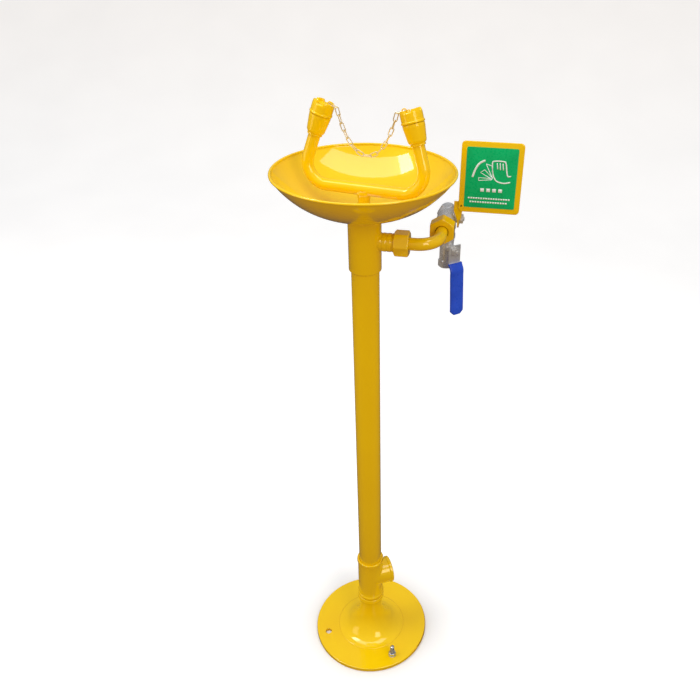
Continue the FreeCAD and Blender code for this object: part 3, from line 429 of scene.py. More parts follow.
def flatsOf(node, axes):
    # width across the flats of a hexagonal node, and the turn that puts a corner where the node has one
    reachX, reachY = np.abs(axes.look(corners(node)))[:, :2].max(axis=0)
    return (2 * reachY, math.pi / 6) if reachX > reachY else (2 * reachX, 0.0)


def slabGrid(outline, low, high, edge, axes):
    # a flat slab from an outline: rows run from the middle of one face, over a rounded edge, to the other
    middle = (outline.min(axis=0) + outline.max(axis=0)) / 2
    half = (outline.max(axis=0) - outline.min(axis=0)) / 2
    turnAngles = np.linspace(0, math.pi / 2, 5)
    inset = np.concatenate([[1], edge * (1 - np.sin(turnAngles)), edge * (1 - np.cos(turnAngles)), [1]])
    height = np.concatenate([[low], low + edge * (1 - np.cos(turnAngles)), high - edge * (1 - np.sin(turnAngles)),
                             [high]])
    shrink = 1 - np.minimum(inset[:, None, None] / half[None, None, :], 1)
    flatPoints = middle + (outline - middle)[None] * shrink
    depth = np.repeat(height[:, None], len(outline), axis=1)
    return axes.put(np.stack([flatPoints[..., 0], depth, flatPoints[..., 1]], axis=-1)), False, True


def roundedRectangle(left, low, rightSide, high, radius, steps=9):
    quarters = [arc((rightSide - radius, low + radius), radius, -90, 0, steps),
                arc((rightSide - radius, high - radius), radius, 0, 90, steps),
                arc((left + radius, high - radius), radius, 90, 180, steps),
                arc((left + radius, low + radius), radius, 180, 270, steps)]
    return np.concatenate(quarters)


dress = dict(merge=2e-6, flatAngle=0.5, creaseAngle=32, bevelAngle=40, bevelSteps=2)


def dressNode(node, bevel=0.4 * mm, angle=dress["creaseAngle"], blendTo=None):
    # a copy of the node with its loose triangles joined, soft edges and its own finish
    mesh = frame["nodes"][node].data.copy()
    work = bmesh.new()
    work.from_mesh(mesh)
    bmesh.ops.remove_doubles(work, verts=work.verts, dist=dress["merge"])
    bmesh.ops.dissolve_limit(work, angle_limit=math.radians(dress["flatAngle"]), verts=work.verts,
                             edges=work.edges)
    for face in work.faces:
        face.smooth = True
    for edge in work.edges:
        if len(edge.link_faces) == 2 and edge.calc_face_angle(0) > math.radians(angle):
            edge.smooth = False
    work.to_mesh(mesh)
    work.free()
    piece = bpy.data.objects.new(node + "_finished", mesh)
    bpy.context.collection.objects.link(piece)
    if bevel:
        edges = piece.modifiers.new("softEdges", "BEVEL")
        edges.width = bevel
        edges.segments = dress["bevelSteps"]
        edges.limit_method = "ANGLE"
        edges.angle_limit = math.radians(dress["bevelAngle"])
        edges.harden_normals = True
    piece.data.materials.clear()
    piece.data.materials.append(materials[slotOf[node]])
    if blendTo:
        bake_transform(piece)
    else:
        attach(piece, bodyOf[node])
    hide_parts(node)
    return piece


upright = Axes((0, 0, 0), right, up)

base = dict(bellRadius=55 * mm, bellCurve=74 * mm, footReach=12 * mm, sunk=1 * mm, neckLip=1.2 * mm,
            neckWall=4.6 * mm, neckSpan=8 * mm, socketDepth=12 * mm)


def makeBase():
    # the bell: an arc from the neck down to the foot, then a flare of one quadratic curve, (1 - t) squared
    # of the rim plus 2 t (1 - t) of the corner plus t squared of the arc's end, so it meets the disc level
    low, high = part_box("base_bell")
    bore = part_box("stand_pipe")[1][0]
    foot, top = low[2], high[2]
    neck = bore + base["neckWall"]
    corner = np.array([base["bellRadius"], foot])
    curve = arcThrough(corner, (neck, top - base["neckSpan"]), base["bellCurve"], 60, -1)
    curve = curve[np.linalg.norm(curve - corner, axis=1) > base["footReach"]]
    rim = corner + np.array([base["footReach"], 0])
    t = np.linspace(0, 1, 16)[:, None]
    flare = (1 - t)**2 * rim + 2 * t * (1 - t) * corner + t**2 * curve[0]
    lip, sunk, socket = base["neckLip"], base["sunk"], top - base["socketDepth"]
    profile = np.concatenate([[(0, foot - sunk), rim - np.array([0, sunk])], flare, curve[1:],
                              softened([(neck, top - 7 * mm), (neck, top - lip), (neck - lip, top), (bore, top),
                                        (bore, socket), (0, socket)], 0.5 * mm, closed=False)])
    finish(gridMesh("baseBell", turned(profile, upright, 160)), "base_bell")
    dressNode("base_disc", 0.0009)


post = dict(edge=0.5 * mm, wall=3.2 * mm)


def makePost():
    low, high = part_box("stand_pipe")
    outer, wall = high[0], post["wall"]
    profile = softened([(outer - wall, low[2]), (outer, low[2]), (outer, high[2]), (outer - wall, high[2])],
                       post["edge"])
    finish(gridMesh("standPipe", turned(profile, upright, 128)), "stand_pipe")
    dressNode("waste_tee", 0.0008)
    dressNode("blank_nipple")


collar = dict(rounding=9 * mm, inset=3 * mm, curve=18 * mm, bore=18.9 * mm, socketDepth=14 * mm, edge=0.6 * mm)


def makeCollar():
    # the collar: a straight socket that rounds in under the bowl
    low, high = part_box("collar_tee")
    outer = -low[0]
    foot, top = low[2], high[2]
    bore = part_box("stand_pipe")[1][0]
    shoulder, socket = top - collar["rounding"], foot + collar["socketDepth"]
    outline = [(bore, foot), (outer - 1 * mm, foot), (outer, foot + 1 * mm), (outer, shoulder)]
    crown = arcThrough((outer, shoulder), (outer - collar["inset"], top), collar["curve"], 14, 1)
    inside = [(collar["bore"], top), (collar["bore"], socket), (bore, socket)]
    profile = np.concatenate([softened(outline, collar["edge"], closed=False), crown, inside])
    finish(gridMesh("collarTee", turned(profile, upright, 128)), "collar_tee")


bowl = dict(curve=132 * mm, wall=2.2 * mm, beadRadius=1.9 * mm, footRadius=24.5 * mm, bore=18.9 * mm)


def makeBowl():
    # a dish of two nested round curves, closed at the lip by a small rolled bead
    low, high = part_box("bowl")
    rim, foot, top = high[0], low[2], high[2]
    bead, wall, bore, flat = bowl["beadRadius"], bowl["wall"], bowl["bore"], bowl["footRadius"]
    outside = arcThrough((flat, foot), (rim - 1.2 * mm, top - 2.6 * mm), bowl["curve"], 70, 1)
    roll = arc((rim - bead, top - bead), bead, -50, 190, 16)
    inside = arcThrough((rim - 3.6 * mm, top - 3.2 * mm), (flat - 1 * mm, foot + wall),
                        bowl["curve"] - wall, 70, -1)
    profile = np.concatenate([[(bore, foot)], outside, roll, inside, [(bore, foot + wall)]])
    finish(gridMesh("bowlDish", turned(profile, upright, 240)), "bowl")
    dressNode("bowl_gasket")
    dressNode("waste_spigot", 0.0004)
    dressNode("bowl_strainer", 0.0003)


yoke = dict(bend=30 * mm, armInHead=8 * mm, weldRise=3.5 * mm, weldSpread=2.2 * mm, boreShare=0.7, weldDrop=0.55)
leanLeft = unit(jointOf["cap_left_pull"]["axis"])
leanRight = unit(jointOf["cap_right_pull"]["axis"])
yokeAxes = Axes((0, 0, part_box("riser_pipe")[1][2]), leanLeft - leanRight, leanLeft + leanRight)
headPlaces = {hand: alongAxis("nozzle_head_" + hand, yokeAxes.x, lean)
              for hand, lean in (("left", leanLeft), ("right", leanRight))}


def makeYoke():
    # one tube: a straight cross pipe, a round bend at each end and two arms that lean inward
    bend = yoke["bend"]
    tilt = math.acos(np.dot(leanLeft, yokeAxes.z))
    head = yokeAxes.look(headPlaces["right"][0].spot)
    radius = (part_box("riser_pipe")[1][0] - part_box("riser_pipe")[0][0]) / 2
    rise = (head[2] - bend - bend * math.sin(tilt)) / math.cos(tilt)
    half = head[0] - bend * math.cos(tilt) + rise * math.sin(tilt)
    reach = rise + yoke["armInHead"]
    straight = np.stack([np.linspace(0, half, 30), np.zeros(30)], axis=-1)
    corner = arc((half, bend), bend, -90, math.degrees(tilt), 40)
    arm = corner[-1] + np.linspace(0, reach, 20)[:, None] * np.array([-math.sin(tilt), math.cos(tilt)])
    side = np.concatenate([straight, corner[1:], arm[1:]])
    whole = np.concatenate([side[::-1] * np.array([-1, 1]), side[1:]])
    path = yokeAxes.put(np.stack([whole[:, 0], np.zeros(len(whole)), whole[:, 1]], axis=-1))
    finish(gridMesh("sprayYoke", swept(path, radius, yokeAxes.y, 56)), "spray_yoke")
    # the riser: its radius grows by the weld's spread times e to the minus distance below the weld over its rise
    low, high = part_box("riser_pipe")
    height = np.linspace(low[2], high[2] - 1 * mm, 60)
    below = (height[-1] - height - radius * yoke["weldDrop"]).clip(0)
    weld = yoke["weldSpread"] * np.exp(-below / yoke["weldRise"])
    profile = np.concatenate([[(radius * yoke["boreShare"], height[0])], np.stack([radius + weld, height], axis=-1),
                              [(radius * yoke["boreShare"], height[-1])]])
    finish(gridMesh("riserPipe", turned(profile, Axes((0, 0, 0), yokeAxes.x, up), 64)), "riser_pipe")
    dressNode("feed_elbow")


head = dict(tube=8.6 * mm, footInset=2.4 * mm, collarHeight=4 * mm, mouthDepth=9 * mm,
            mouth=12.6 * mm, face=10 * mm)


def makeHead(hand):
    # a turned nozzle: thin ring at the tube, flaring cone, straight collar, mouth and sunk spray face
    axes, length, widest = headPlaces[hand]
    tube, foot, top = head["tube"], widest - head["footInset"], widest
    mouthLow, last, mouth, inner = length - head["mouthDepth"], length, head["mouth"], head["face"]
    profile = softened([(tube, 0), (foot - 2.6 * mm, 0), (foot - 2.2 * mm, 0.5 * mm), (foot - 2.2 * mm, 2.1 * mm),
                        (foot - 2.8 * mm, 2.6 * mm), (foot - 0.9 * mm, 4.2 * mm), (foot, 6.4 * mm),
                        (top, mouthLow - head["collarHeight"]), (top, mouthLow), (mouth, mouthLow), (mouth, last),
                        (inner, last), (inner, last - 3 * mm), (tube, last - 3.4 * mm), (tube, 11 * mm)], 0.5 * mm)
    finish(gridMesh("nozzleHead_" + hand, turned(profile, axes, 112)), "nozzle_head_" + hand)
    dressNode("spray_face_" + hand, 0.0002)
    dressNode("filter_disc_" + hand)


cap = dict(lugs=4, lugRise=3.4 * mm, lugShare=0.56, skirtBead=2.4 * mm, roofDrop=0.4 * mm, bore=13 * mm,
           height=14.6 * mm, roof=2.2 * mm, lugEdge=9, eyeReach=8.5 * mm, eyeRing=3.2 * mm, eyeWire=0.85 * mm)


def makeCap(hand, side):
    # a turned cap whose crown rises in lugs: height grows by the lug rise where a smooth square wave is high
    headAxes = headPlaces[hand][0]
    local = headAxes.look(corners("dust_cap_" + hand))
    axes = Axes(headAxes.put(np.array([0, 0, local[:, 2].min()])), yokeAxes.x, headAxes.z)
    outer, inner = np.abs(local[:, 1]).max(), cap["bore"]
    high = cap["height"]
    crown = high - cap["roof"]
    profile = softened([(0, crown - 2 * mm), (inner, crown - 2 * mm), (inner, 0), (outer - 0.5 * mm, 0),
                        (outer, 0.7 * mm), (outer, cap["skirtBead"]), (outer - 0.8 * mm, cap["skirtBead"] + 1 * mm),
                        (outer - 0.8 * mm, high - 1.2 * mm), (outer - 1.8 * mm, high), (outer - 5.6 * mm, high),
                        (outer - 6.2 * mm, high - cap["roofDrop"]), (0, high - cap["roofDrop"])], 0.45 * mm, 6)
    profile[0, 0] = profile[-1, 0] = 0

    def swell(radius, height, angle):
        wave = np.cos(cap["lugs"] * (angle - math.pi / 4)) - math.cos(math.pi * cap["lugShare"])
        lift = 0.5 + 0.5 * np.tanh(wave * cap["lugEdge"])
        rising = np.clip((height - (high - 1.3 * mm)) / (1.2 * mm), 0, 1)
        onRing = np.clip((radius - (outer - 6.1 * mm)) / (0.5 * mm), 0, 1)
        return radius, height + cap["lugRise"] * lift * rising * onRing

    eyeReach, eyeRing, eyeWire = cap["eyeReach"], cap["eyeRing"], cap["eyeWire"]
    ringAngle = np.linspace(0, 2 * math.pi, 40, endpoint=False)
    ring = np.stack([-side * eyeReach + eyeRing * np.cos(ringAngle), np.zeros(40),
                     high + 2.6 * mm + eyeRing * np.sin(ringAngle)], axis=-1)
    boss = softened([(0, high - 1 * mm), (2.6 * mm, high - 1 * mm), (1.9 * mm, high + 1.0 * mm),
                     (0, high + 1.2 * mm)], 0.3 * mm, closed=False)
    bossAxes = Axes(axes.put(np.array([-side * eyeReach, 0, 0])), axes.x, axes.z)
    tangent = np.stack([-np.sin(ringAngle), np.zeros(40), np.cos(ringAngle)], axis=-1)
    outward = np.stack([np.cos(ringAngle), np.zeros(40), np.sin(ringAngle)], axis=-1)
    around = np.linspace(0, 2 * math.pi, 14, endpoint=False)[None, :, None]
    sideways = np.cross(tangent, outward)
    eye = ring[:, None] + eyeWire * (np.cos(around) * outward[:, None] + np.sin(around) * sideways[:, None])
    finish(gridMesh("dustCap_" + hand, turned(profile, axes, 240, swell), (axes.put(eye), True, True),
                    turned(boss, bossAxes, 24)), "dust_cap_" + hand)


def makeChains():
    # each half is a finished copy of its chain node, baked in place and hung on no body; its lowest link and the
    # cap's top end are passed along, but only their presence is read
    lowest = corners("chain_left")
    lowest = lowest[lowest[:, 2].argmin()]
    for hand in ("left", "right"):
        axes = headPlaces[hand][0]
        local = axes.look(corners("dust_cap_" + hand))
        end = axes.put(np.array([0, 0, local[:, 2].max()]))
        dressNode("chain_" + hand, 0, 60, ("stand", "cap_" + hand, tuple(lowest), tuple(end)))


makeBase()
makePost()
makeCollar()
makeBowl()
print("post, base, collar and bowl made")
makeYoke()
for hand, side in (("left", -1), ("right", 1)):
    makeHead(hand)
    makeCap(hand, side)
makeChains()
print("yoke, heads, caps and chain made")

union = dict(bevel=3.0 * mm, bore=10.2 * mm)
supply = dict(bend=33 * mm, nippleBore=6.3 * mm, nippleRise=0.3 * mm, grooves=4.8, grooveDepth=0.5 * mm,
              groovedShare=0.72)


def makeUnion(prefix, along):
    # a ring nut with bevelled corners, with its gasket and tail ring inside
    node = prefix + "_union_nut"
    axes, length, _ = alongAxis(node, up, along)
    flats, turn = flatsOf(node, axes)
    grid = nut(axes, flats, union["bevel"], 0, length, union["bore"], turn)
    finish(gridMesh(prefix + "UnionNut", grid), node)
    dressNode(prefix + "_union_gasket")
    dressNode(prefix + "_union_tail")


def makeSupply():
    makeUnion("collar", right)
    makeUnion("valve", -away)
    # the inlet nipple: grooves whose depth goes with the square of a cosine along its length, where that is over 0
    axes, length, radius = alongAxis("inlet_nipple", up, right)
    t = np.linspace(0, 1, 90)
    ribs = supply["grooveDepth"] * np.clip(np.cos(2 * math.pi * supply["grooves"] * t), 0, 1)**2
    outer = np.stack([radius + supply["nippleRise"] - ribs * (t < supply["groovedShare"]), t * length], axis=-1)
    profile = np.concatenate([[(supply["nippleBore"], 0)], outer, [(supply["nippleBore"], length)]])
    finish(gridMesh("inletNipple", turned(profile, axes, 80)), "inlet_nipple")
    # the supply bend: straight, a quarter turn level with the floor, and straight to the valve
    low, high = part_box("supply_bend")
    level = (low[2] + high[2]) / 2
    radius = (high[2] - low[2]) / 2
    endX = high[0] - radius
    bend = supply["bend"]
    run = np.stack([np.linspace(low[0], endX - bend, 14), np.zeros(14)], axis=-1)
    curve = arc((endX - bend, bend), bend, -90, 0, 30)
    tail = np.stack([np.full(14, endX), np.linspace(bend, high[1], 14)], axis=-1)
    flat = np.concatenate([run, curve[1:], tail[1:]])
    path = np.column_stack([flat, np.full(len(flat), level)])
    finish(gridMesh("supplyBend", swept(path, radius, up, 48)), "supply_bend")
    dressNode("union_spigot", 0.0003)


makeSupply()
print("unions and supply bend made")

valve = dict(hexBevel=1.6 * mm, hexLength=13 * mm, ribRise=0.7 * mm, neckRadius=6.5 * mm, thread=9.3 * mm,
             bore=6.5 * mm, threadDepth=12 * mm)


def makeValve(prefix, along, stemWay):
    # barrel with a hexagon at the near thread, a raised joint band, and a round neck for the stem
    ballAxes, _, ballRadius = alongAxis(prefix + "_ball", np.cross(along, stemWay), along)
    spot = ballAxes.spot + unit(along) * ballRadius
    axes = Axes(spot, stemWay, along)
    local = axes.look(corners(prefix + "_valve_body"))
    barrel = np.abs(local[:, 1][local[:, 2] > 0]).max()
    start, stop = local[:, 2].min(), local[:, 2].max()
    neckTop = local[:, 0].max()
    rib, thread, bore, deep = valve["ribRise"], valve["thread"], valve["bore"], start + valve["threadDepth"]
    shell = softened([(thread, start), (barrel, start), (barrel, stop - 5 * mm), (barrel + rib, stop - 4 * mm),
                      (barrel + rib, stop), (bore, stop), (bore, deep), (thread, deep)], 0.7 * mm)
    hexFlats, turn = flatsOf(prefix + "_valve_end", axes)
    hexRows = nut(axes, hexFlats, valve["hexBevel"], start, start + valve["hexLength"], thread, turn)
    neckAxes = Axes(spot, along, stemWay)
    slim = valve["neckRadius"]
    neck = softened([(0, barrel * 0.6), (slim + 1.6 * mm, barrel * 0.6), (slim + 1.2 * mm, barrel * 0.94),
                     (slim, barrel + 1 * mm), (slim, neckTop), (0, neckTop)], 0.8 * mm, closed=False)
    finish(gridMesh(prefix + "ValveBody", turned(shell, axes, 96), hexRows, turned(neck, neckAxes, 48)),
           prefix + "_valve_body")
    endHeights = axes.look(corners(prefix + "_valve_end"))[:, 2]
    endNut = nut(axes, hexFlats, valve["hexBevel"], stop, endHeights.max(), thread, turn)
    finish(gridMesh(prefix + "ValveEnd", endNut), prefix + "_valve_end")
    for name in ("gland_nut", "stem_nut", "stem"):
        dressNode(f"{prefix}_{name}", 0.0004)
    for name in ("ball", "lower_seat", "upper_seat"):
        dressNode(f"{prefix}_{name}", 0)


elbow = dict(reach=17 * mm, bend=13.6 * mm, bandWidth=6 * mm, bandEdge=0.6 * mm,
             lipDrop=0.7 * mm, lipReach=0.5 * mm)


def makeElbow():
    # a cast elbow: a quarter bend whose radius steps up by a tanh into a band at its lower end, and
    # falls off at both ends by e to the minus distance from the end
    low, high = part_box("rear_elbow")
    drop = jointOf["isolator_turn"]["pos_m"]
    centre = np.array([drop[0], drop[1], (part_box("supply_bend")[0][2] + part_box("supply_bend")[1][2]) / 2])
    body = high[2] - centre[2]
    band = (high[0] - low[0]) / 2
    reach, bend = elbow["reach"], elbow["bend"]
    front = np.stack([np.linspace(-reach, -bend, 8), np.zeros(8)], axis=-1)
    curve = arc((-bend, -bend), bend, 90, 0, 40)
    down = np.stack([np.zeros(8), np.linspace(-bend, -reach, 8)], axis=-1)
    flat = np.concatenate([front, curve[1:], down[1:]])
    path = centre + flat[:, :1] * away + flat[:, 1:] * up
    steps = np.concatenate([[0], np.cumsum(np.linalg.norm(np.diff(flat, axis=0), axis=1))])
    toEnd = steps[-1] - steps
    radius = body + (band - body) * (0.5 + 0.5 * np.tanh((elbow["bandWidth"] - toEnd) / elbow["bandEdge"]))
    radius -= elbow["lipDrop"] * np.exp(-np.minimum(steps, toEnd) / elbow["lipReach"])
    finish(gridMesh("rearElbow", swept(path, radius, right, 64)), "rear_elbow")
    dressNode("elbow_nipple", 0.0004)


def makeValves():
    turnWay = np.array(jointOf["isolator_turn"]["axis"])
    makeValve("push", away, right)
    makeValve("isolator", up, turnWay)
    makeElbow()


makeValves()
print("valves and elbow made")

plate = dict(tilt=3.0, corner=6 * mm, edge=0.9 * mm, stickerCorner=2.5 * mm, inkRise=0.12 * mm, inkSunk=0.05 * mm,
             strokeWidth=1.5 * mm, arcWidth=1.9, handWidth=1.25, fanWidth=0.6)
# strokes and bars of the plain push sign, in millimetres right of and below the sticker's upper left corner
signArc = [(10.4, 44.6), (14.6, 31.7), (20.0, 23.5), (27.9, 18.8)]
signFans = [[(39.2, 47.0), (20.0, 49.4), (19.9, 44.9), (39.2, 45.6)],
            [(39.6, 46.4), (22.0, 37.2), (28.0, 32.8), (40.0, 44.6)],
            [(40.2, 45.0), (29.4, 24.0), (37.8, 26.4), (40.6, 42.0)]]
signHand = [(67.2, 40.6), (61.9, 39.6), (58.4, 22.4), (54.2, 19.2), (40.8, 19.6), (38.7, 23.0), (39.9, 36.5),
            (43.6, 45.8), (49.2, 50.1), (58.3, 51.4), (66.8, 49.6)]
signFingers = [[(45.5, 22.0), (46.8, 31.0)], [(49.8, 22.0), (50.9, 32.0)], [(54.0, 22.4), (55.4, 32.0)]]
signBars = dict(short=[(23.4, 28.9), (32.4, 38.0), (41.3, 46.8), (50.3, 55.9)], shortTop=60.8, shortLow=66.0,
                firstLine=(5.0, 69.0, 75.2, 77.6, 17), secondLine=(8.0, 65.0, 81.0, 83.4, 15))


def curveThrough(points, steps=14):
    # a smooth line through the points: each run is a Catmull-Rom cubic of its four nearest points
    points = np.asarray(points, float)
    padded = np.concatenate([[2 * points[0] - points[1]], points, [2 * points[-1] - points[-2]]])
    p0, p1, p2, p3 = padded[:-3, None], padded[1:-2, None], padded[2:-1, None], padded[3:, None]
    t = np.linspace(0, 1, steps, endpoint=False)[None, :, None]
    curve = 0.5 * (2 * p1 + (p2 - p0) * t + (2 * p0 - 5 * p1 + 4 * p2 - p3) * t**2
                   + (3 * p1 - p0 - 3 * p2 + p3) * t**3)
    return np.concatenate([curve.reshape(-1, 2), points[-1:]])


def ribbon(line, width, low, high):
    # a flat raised band along a line: its sides stand half the width to each side of the line
    line = np.asarray(line, float)
    way = np.gradient(line, axis=0)
    way /= np.linalg.norm(way, axis=1, keepdims=True)
    side = np.stack([-way[:, 1], way[:, 0]], axis=-1) * width / 2
    rows = [(line - side, low), (line - side * 0.94, high), (line + side * 0.94, high), (line + side, low)]
    grid = np.stack([np.column_stack([flat[:, 0], np.full(len(flat), depth), flat[:, 1]]) for flat, depth in rows],
                    axis=1)
    ends = [np.repeat(grid[end].mean(axis=0)[None, None], 4, axis=1) for end in (0, -1)]
    return np.concatenate([ends[0], grid, ends[1]])


def makePlate():
    hinge = jointOf["push_plate_swing"]["pos_m"]
    lean = math.radians(plate["tilt"])
    axes = Axes(hinge, right, (0, math.sin(lean), math.cos(lean)))
    local = axes.look(corners("push_plate"))
    low, high = local.min(axis=0), local.max(axis=0)
    outline = roundedRectangle(low[0], low[2], high[0], high[2], plate["corner"])
    finish(gridMesh("pushPlate", slabGrid(outline, low[1], high[1], plate["edge"], axes)), "push_plate")
    local = axes.look(corners("push_sticker"))
    low, high = local.min(axis=0), local.max(axis=0)
    outline = roundedRectangle(low[0], low[2], high[0], high[2], plate["stickerCorner"])
    finish(gridMesh("pushSticker", slabGrid(outline, low[1], high[1], 0.15 * mm, axes)), "push_sticker")
    corner = np.array([low[0], high[2]])
    inkBack, inkFront = low[1] + plate["inkSunk"], low[1] - plate["inkRise"]
    stroke = plate["strokeWidth"]

    def place(points):
        return corner + np.asarray(points, float) * np.array([mm, -mm])

    lines = [curveThrough(place(signArc)), curveThrough(place(signHand))]
    widths = [stroke * plate["arcWidth"], stroke * plate["handWidth"]]
    for fan in signFans:
        lines.append(softened(place(fan + fan[:1]), 0.5 * mm, 3, closed=False))
        widths.append(stroke * plate["fanWidth"])
    for finger in signFingers:
        lines.append(np.linspace(*place(finger), 6))
        widths.append(stroke)
    bars = [(left, signBars["shortTop"], rightEnd, signBars["shortLow"]) for left, rightEnd in signBars["short"]]
    for left, rightEnd, top, foot, count in (signBars["firstLine"], signBars["secondLine"]):
        edges = np.linspace(left, rightEnd, count + 1)
        bars += [(start + 0.5, top, stop - 0.5, foot) for start, stop in zip(edges, edges[1:])]
    for left, top, rightEnd, foot in bars:
        level = (top + foot) / 2
        lines.append(np.linspace(*place([(left, level), (rightEnd, level)]), 4))
        widths.append((foot - top) * mm)
    grids = [(axes.put(ribbon(line, width, inkBack, inkFront)), False, True) for line, width in zip(lines, widths)]
    finish(gridMesh("pushSign", *grids), "push_sticker", mat=whiteInk)
    dressNode("push_arm", 0.0005)
    dressNode("plate_rivets", 0.0005)


makePlate()
print("push plate and its sign made")

lever = dict(thick=2.75 * mm, mouthRoll=0.5 * mm, tipShare=0.47, tipLength=6.5 * mm,
             acrossPower=0.36, depthPower=0.55, rows=120, count=56, smoothing=33)


def makeLever():
    # the sleeve: a rounded flat section carried down the bent strip and drawn in to a blunt point
    hinge = jointOf["isolator_turn"]
    axes = Axes(hinge["pos_m"], hinge["axis"], up)
    local = axes.look(corners("lever_sleeve"))
    low, high = local.min(axis=0), local.max(axis=0)
    halfWide = (high[1] - low[1]) / 2
    count, span = lever["count"], lever["smoothing"]
    levels = np.linspace(high[2], low[2], lever["rows"])
    # the strip's middle in each of a row of bins, then smoothed along its length
    bins = np.digitize(local[:, 2], np.linspace(low[2] - 1e-6, high[2] + 1e-6, 30))
    keys = np.unique(bins)
    binned = [local[bins == key] for key in keys]
    known = np.array([[part[:, 2].mean(), (part[:, 0].min() + part[:, 0].max()) / 2] for part in binned])
    order = known[:, 0].argsort()
    middle = np.interp(levels, known[order, 0], known[order, 1])
    kernel = np.hanning(span) / np.hanning(span).sum()
    middle = np.convolve(np.pad(middle, span // 2, mode="edge"), kernel, mode="valid")
    toTip = levels - low[2]
    wide = halfWide * np.clip(lever["tipShare"] + (1 - lever["tipShare"]) * toTip / lever["tipLength"], 0, 1)
    wide *= np.clip(toTip / (0.5 * mm), 0.0, 1)**0.4
    thickness = lever["thick"] * np.clip(toTip / (1.2 * mm), 0, 1)**0.4
    rolled = lever["mouthRoll"] * np.exp(-(levels[0] - levels) / (1.2 * mm))
    angle = np.linspace(0, 2 * math.pi, count, endpoint=False)[None, :]
    # a squarish oval section: sine and cosine, each raised to a power below one with its sign kept
    across = np.sign(np.sin(angle)) * np.abs(np.sin(angle))**lever["acrossPower"]
    depth = np.sign(np.cos(angle)) * np.abs(np.cos(angle))**lever["depthPower"]
    grid = np.stack([middle[:, None] + (thickness + rolled)[:, None] * depth, (wide + rolled)[:, None] * across,
                     np.repeat(levels[:, None], count, axis=1)], axis=-1)
    ends = [np.repeat(np.array([[[middle[end], 0, levels[end]]]]), count, axis=1) for end in (0, -1)]
    whole = axes.put(np.concatenate([ends[0], grid, ends[1]]))
    finish(gridMesh("leverSleeve", (whole, False, True)), "lever_sleeve")
    dressNode("isolator_lever", 0.0004)


makeLever()
print("isolating lever made")

stud = dict(pitch=1.25 * mm, threadDepth=0.45 * mm, nutBevel=1.4 * mm, rows=220)


def makeStud():
    # thread: the radius falls by a triangle wave of height over pitch less the share of the turn
    axes, length, radius = alongAxis("anchor_stud", right, up)
    height = np.linspace(0, length - 0.8 * mm, stud["rows"])
    profile = np.concatenate([[(0, 0)], np.stack([np.full(stud["rows"], radius), height], axis=-1),
                              [(radius - 0.9 * mm, length), (0, length)]])

    def swell(reach, level, angle):
        phase = (level / stud["pitch"] - angle / (2 * math.pi)) % 1
        cut = stud["threadDepth"] * (1 - np.abs(2 * phase - 1))
        return reach - cut * (reach > radius * 0.95), level

    finish(gridMesh("anchorStud", turned(profile, axes, 40, swell)), "anchor_stud")
    axes, length, _ = alongAxis("anchor_nut", right, up)
    flats, turn = flatsOf("anchor_nut", axes)
    finish(gridMesh("anchorNut", nut(axes, flats, stud["nutBevel"], 0, length, radius, turn)), "anchor_nut")
    dressNode("anchor_washer", 0.0003)


makeStud()
print("anchor stud made")

# the pair after floorGlow gives the radii over which the floor's glow fades in, a painted shadow under and around
# the base
stage = dict(floorColor=(0.87, 0.89, 0.92, 1), floorLow=(0.83, 0.85, 0.88, 1), floorSize=6.0, floorGlow=0.3,
             paintedShadowRing=(0.105, 0.2), floorGap=0.5 * mm, bendFrom=0.35, bendRise=1.6,
             skyHigh=0.7, skyLow=0.48, glossHigh=0.36, glossLow=0.07,
             skyColors=[(0, (1, 0.6, 0.32, 1)), (0.36, (1, 0.86, 0.72, 1)), (1, (1, 1, 1, 1))])
white, warmWhite = (1, 1, 1), (1, 0.87, 0.70)
# each row: name, place, what it points at, width, height, power, colour
lamps = [("topSoftbox", (0.15, -0.15, 2.65), (0.15, -0.15, 0), 2.2, 0.9, 16, white),
         ("topBright", (-1.2, -0.15, 2.65), (-1.2, -0.15, 0), 0.5, 0.9, 14, white),
         ("keySoftbox", (1.5, -1.7, 1.9), (0, 0, 0.7), 0.9, 1.4, 18, warmWhite),
         ("fillSoftbox", (-2.0, -0.9, 1.3), (0, 0, 0.6), 1.0, 1.6, 7, warmWhite)]


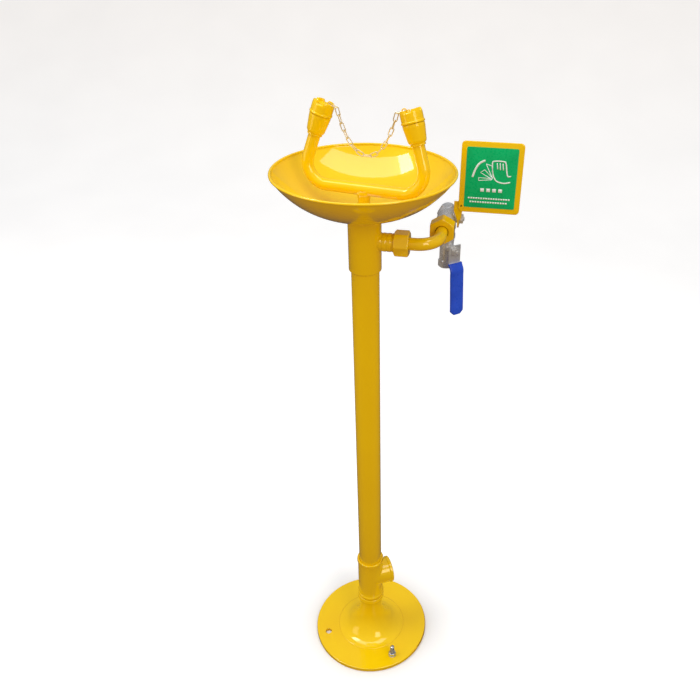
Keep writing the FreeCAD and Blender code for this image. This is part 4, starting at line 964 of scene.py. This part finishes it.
def makeFloor():
    # a sheet that runs back and then curves up: height grows with the square of the way past the bend
    size = stage["floorSize"]
    u, v = np.meshgrid(np.linspace(-1, 1, 41), np.linspace(-1, 1, 81), indexing="ij")
    far = np.clip(v - stage["bendFrom"], 0, None)
    level = groundZ - stage["floorGap"] + far**2 * size * stage["bendRise"]
    points = np.stack([u * size, v * size, level], axis=-1)
    floor = gridMesh("paleFloor", (points, False, False))
    mat, nodes, links, shader = newMaterial("paleFloorPaint", Roughness=0.8)
    vector = objectCoords(nodes, links)
    cloud = noise(nodes, links, vector, 3)
    tone = ramp(nodes, links, cloud, [(0.3, stage["floorLow"]), (0.7, stage["floorColor"])])
    links.new(tone, shader.inputs["Base Color"])
    shader.inputs["Emission Color"].default_value = (1, 1, 1, 1)
    # painted shadow: the glow fades out under the base and over a ring around it, so the anchor holes look down on
    # a shaded floor and a painted contact shadow lies round the base
    reach = nodes.new("ShaderNodeVectorMath")
    reach.operation = "LENGTH"
    links.new(vector, reach.inputs[0])
    links.new(spread(nodes, links, reach.outputs["Value"], 0, stage["floorGlow"], *stage["paintedShadowRing"]),
              shader.inputs["Emission Strength"])
    floor.data.materials.append(mat)
    floor.visible_diffuse = False
    floor.visible_glossy = False


def areaLight(name, place, target, wide, tall, power, color):
    data = bpy.data.lights.new(name, "AREA")
    data.color = color
    data.shape = "RECTANGLE"
    data.size = wide
    data.size_y = tall
    data.energy = power
    lamp = bpy.data.objects.new(name, data)
    bpy.context.collection.objects.link(lamp)
    lamp.location = place
    lamp.rotation_euler = (Vector(place) - Vector(target)).to_track_quat("Z", "Y").to_euler()


def makeLight():
    for row in lamps:
        areaLight(*row)
    world = bpy.data.worlds.new("softRoom")
    world.use_nodes = True
    nodes, links = world.node_tree.nodes, world.node_tree.links
    coord = nodes.new("ShaderNodeTexCoord")
    parts = nodes.new("ShaderNodeSeparateXYZ")
    links.new(coord.outputs["Generated"], parts.inputs["Vector"])
    # a taller ray sees a brighter sky; mirror-like rays see a darker one, and only matt rays see its warm tint
    daylight = spread(nodes, links, parts.outputs["Z"], stage["skyLow"], stage["skyHigh"], -0.4, 0.9)
    mirrored = spread(nodes, links, parts.outputs["Z"], stage["glossLow"], stage["glossHigh"], -0.4, 0.9)
    height = spread(nodes, links, parts.outputs["Z"], 0, 1, -0.4, 0.9)
    rays = nodes.new("ShaderNodeLightPath")
    warm = ramp(nodes, links, height, stage["skyColors"])
    plain = spread(nodes, links, rays.outputs["Is Diffuse Ray"], 1, 0, 0, 1)
    tint = mixColors(nodes, links, plain, warm, (1, 1, 1, 1))
    links.new(tint, nodes["Background"].inputs["Color"])
    strength = nodes.new("ShaderNodeMix")
    links.new(rays.outputs["Is Glossy Ray"], strength.inputs[0])
    links.new(daylight, strength.inputs[2])
    links.new(mirrored, strength.inputs[3])
    seen = nodes.new("ShaderNodeMix")
    links.new(rays.outputs["Is Camera Ray"], seen.inputs[0])
    links.new(strength.outputs[0], seen.inputs[2])
    seen.inputs[3].default_value = 1
    links.new(seen.outputs[0], nodes["Background"].inputs["Strength"])
    bpy.context.scene.world = world
    bpy.context.scene.view_settings.view_transform = "Standard"


makeFloor()
makeLight()
print("floor and light ready")
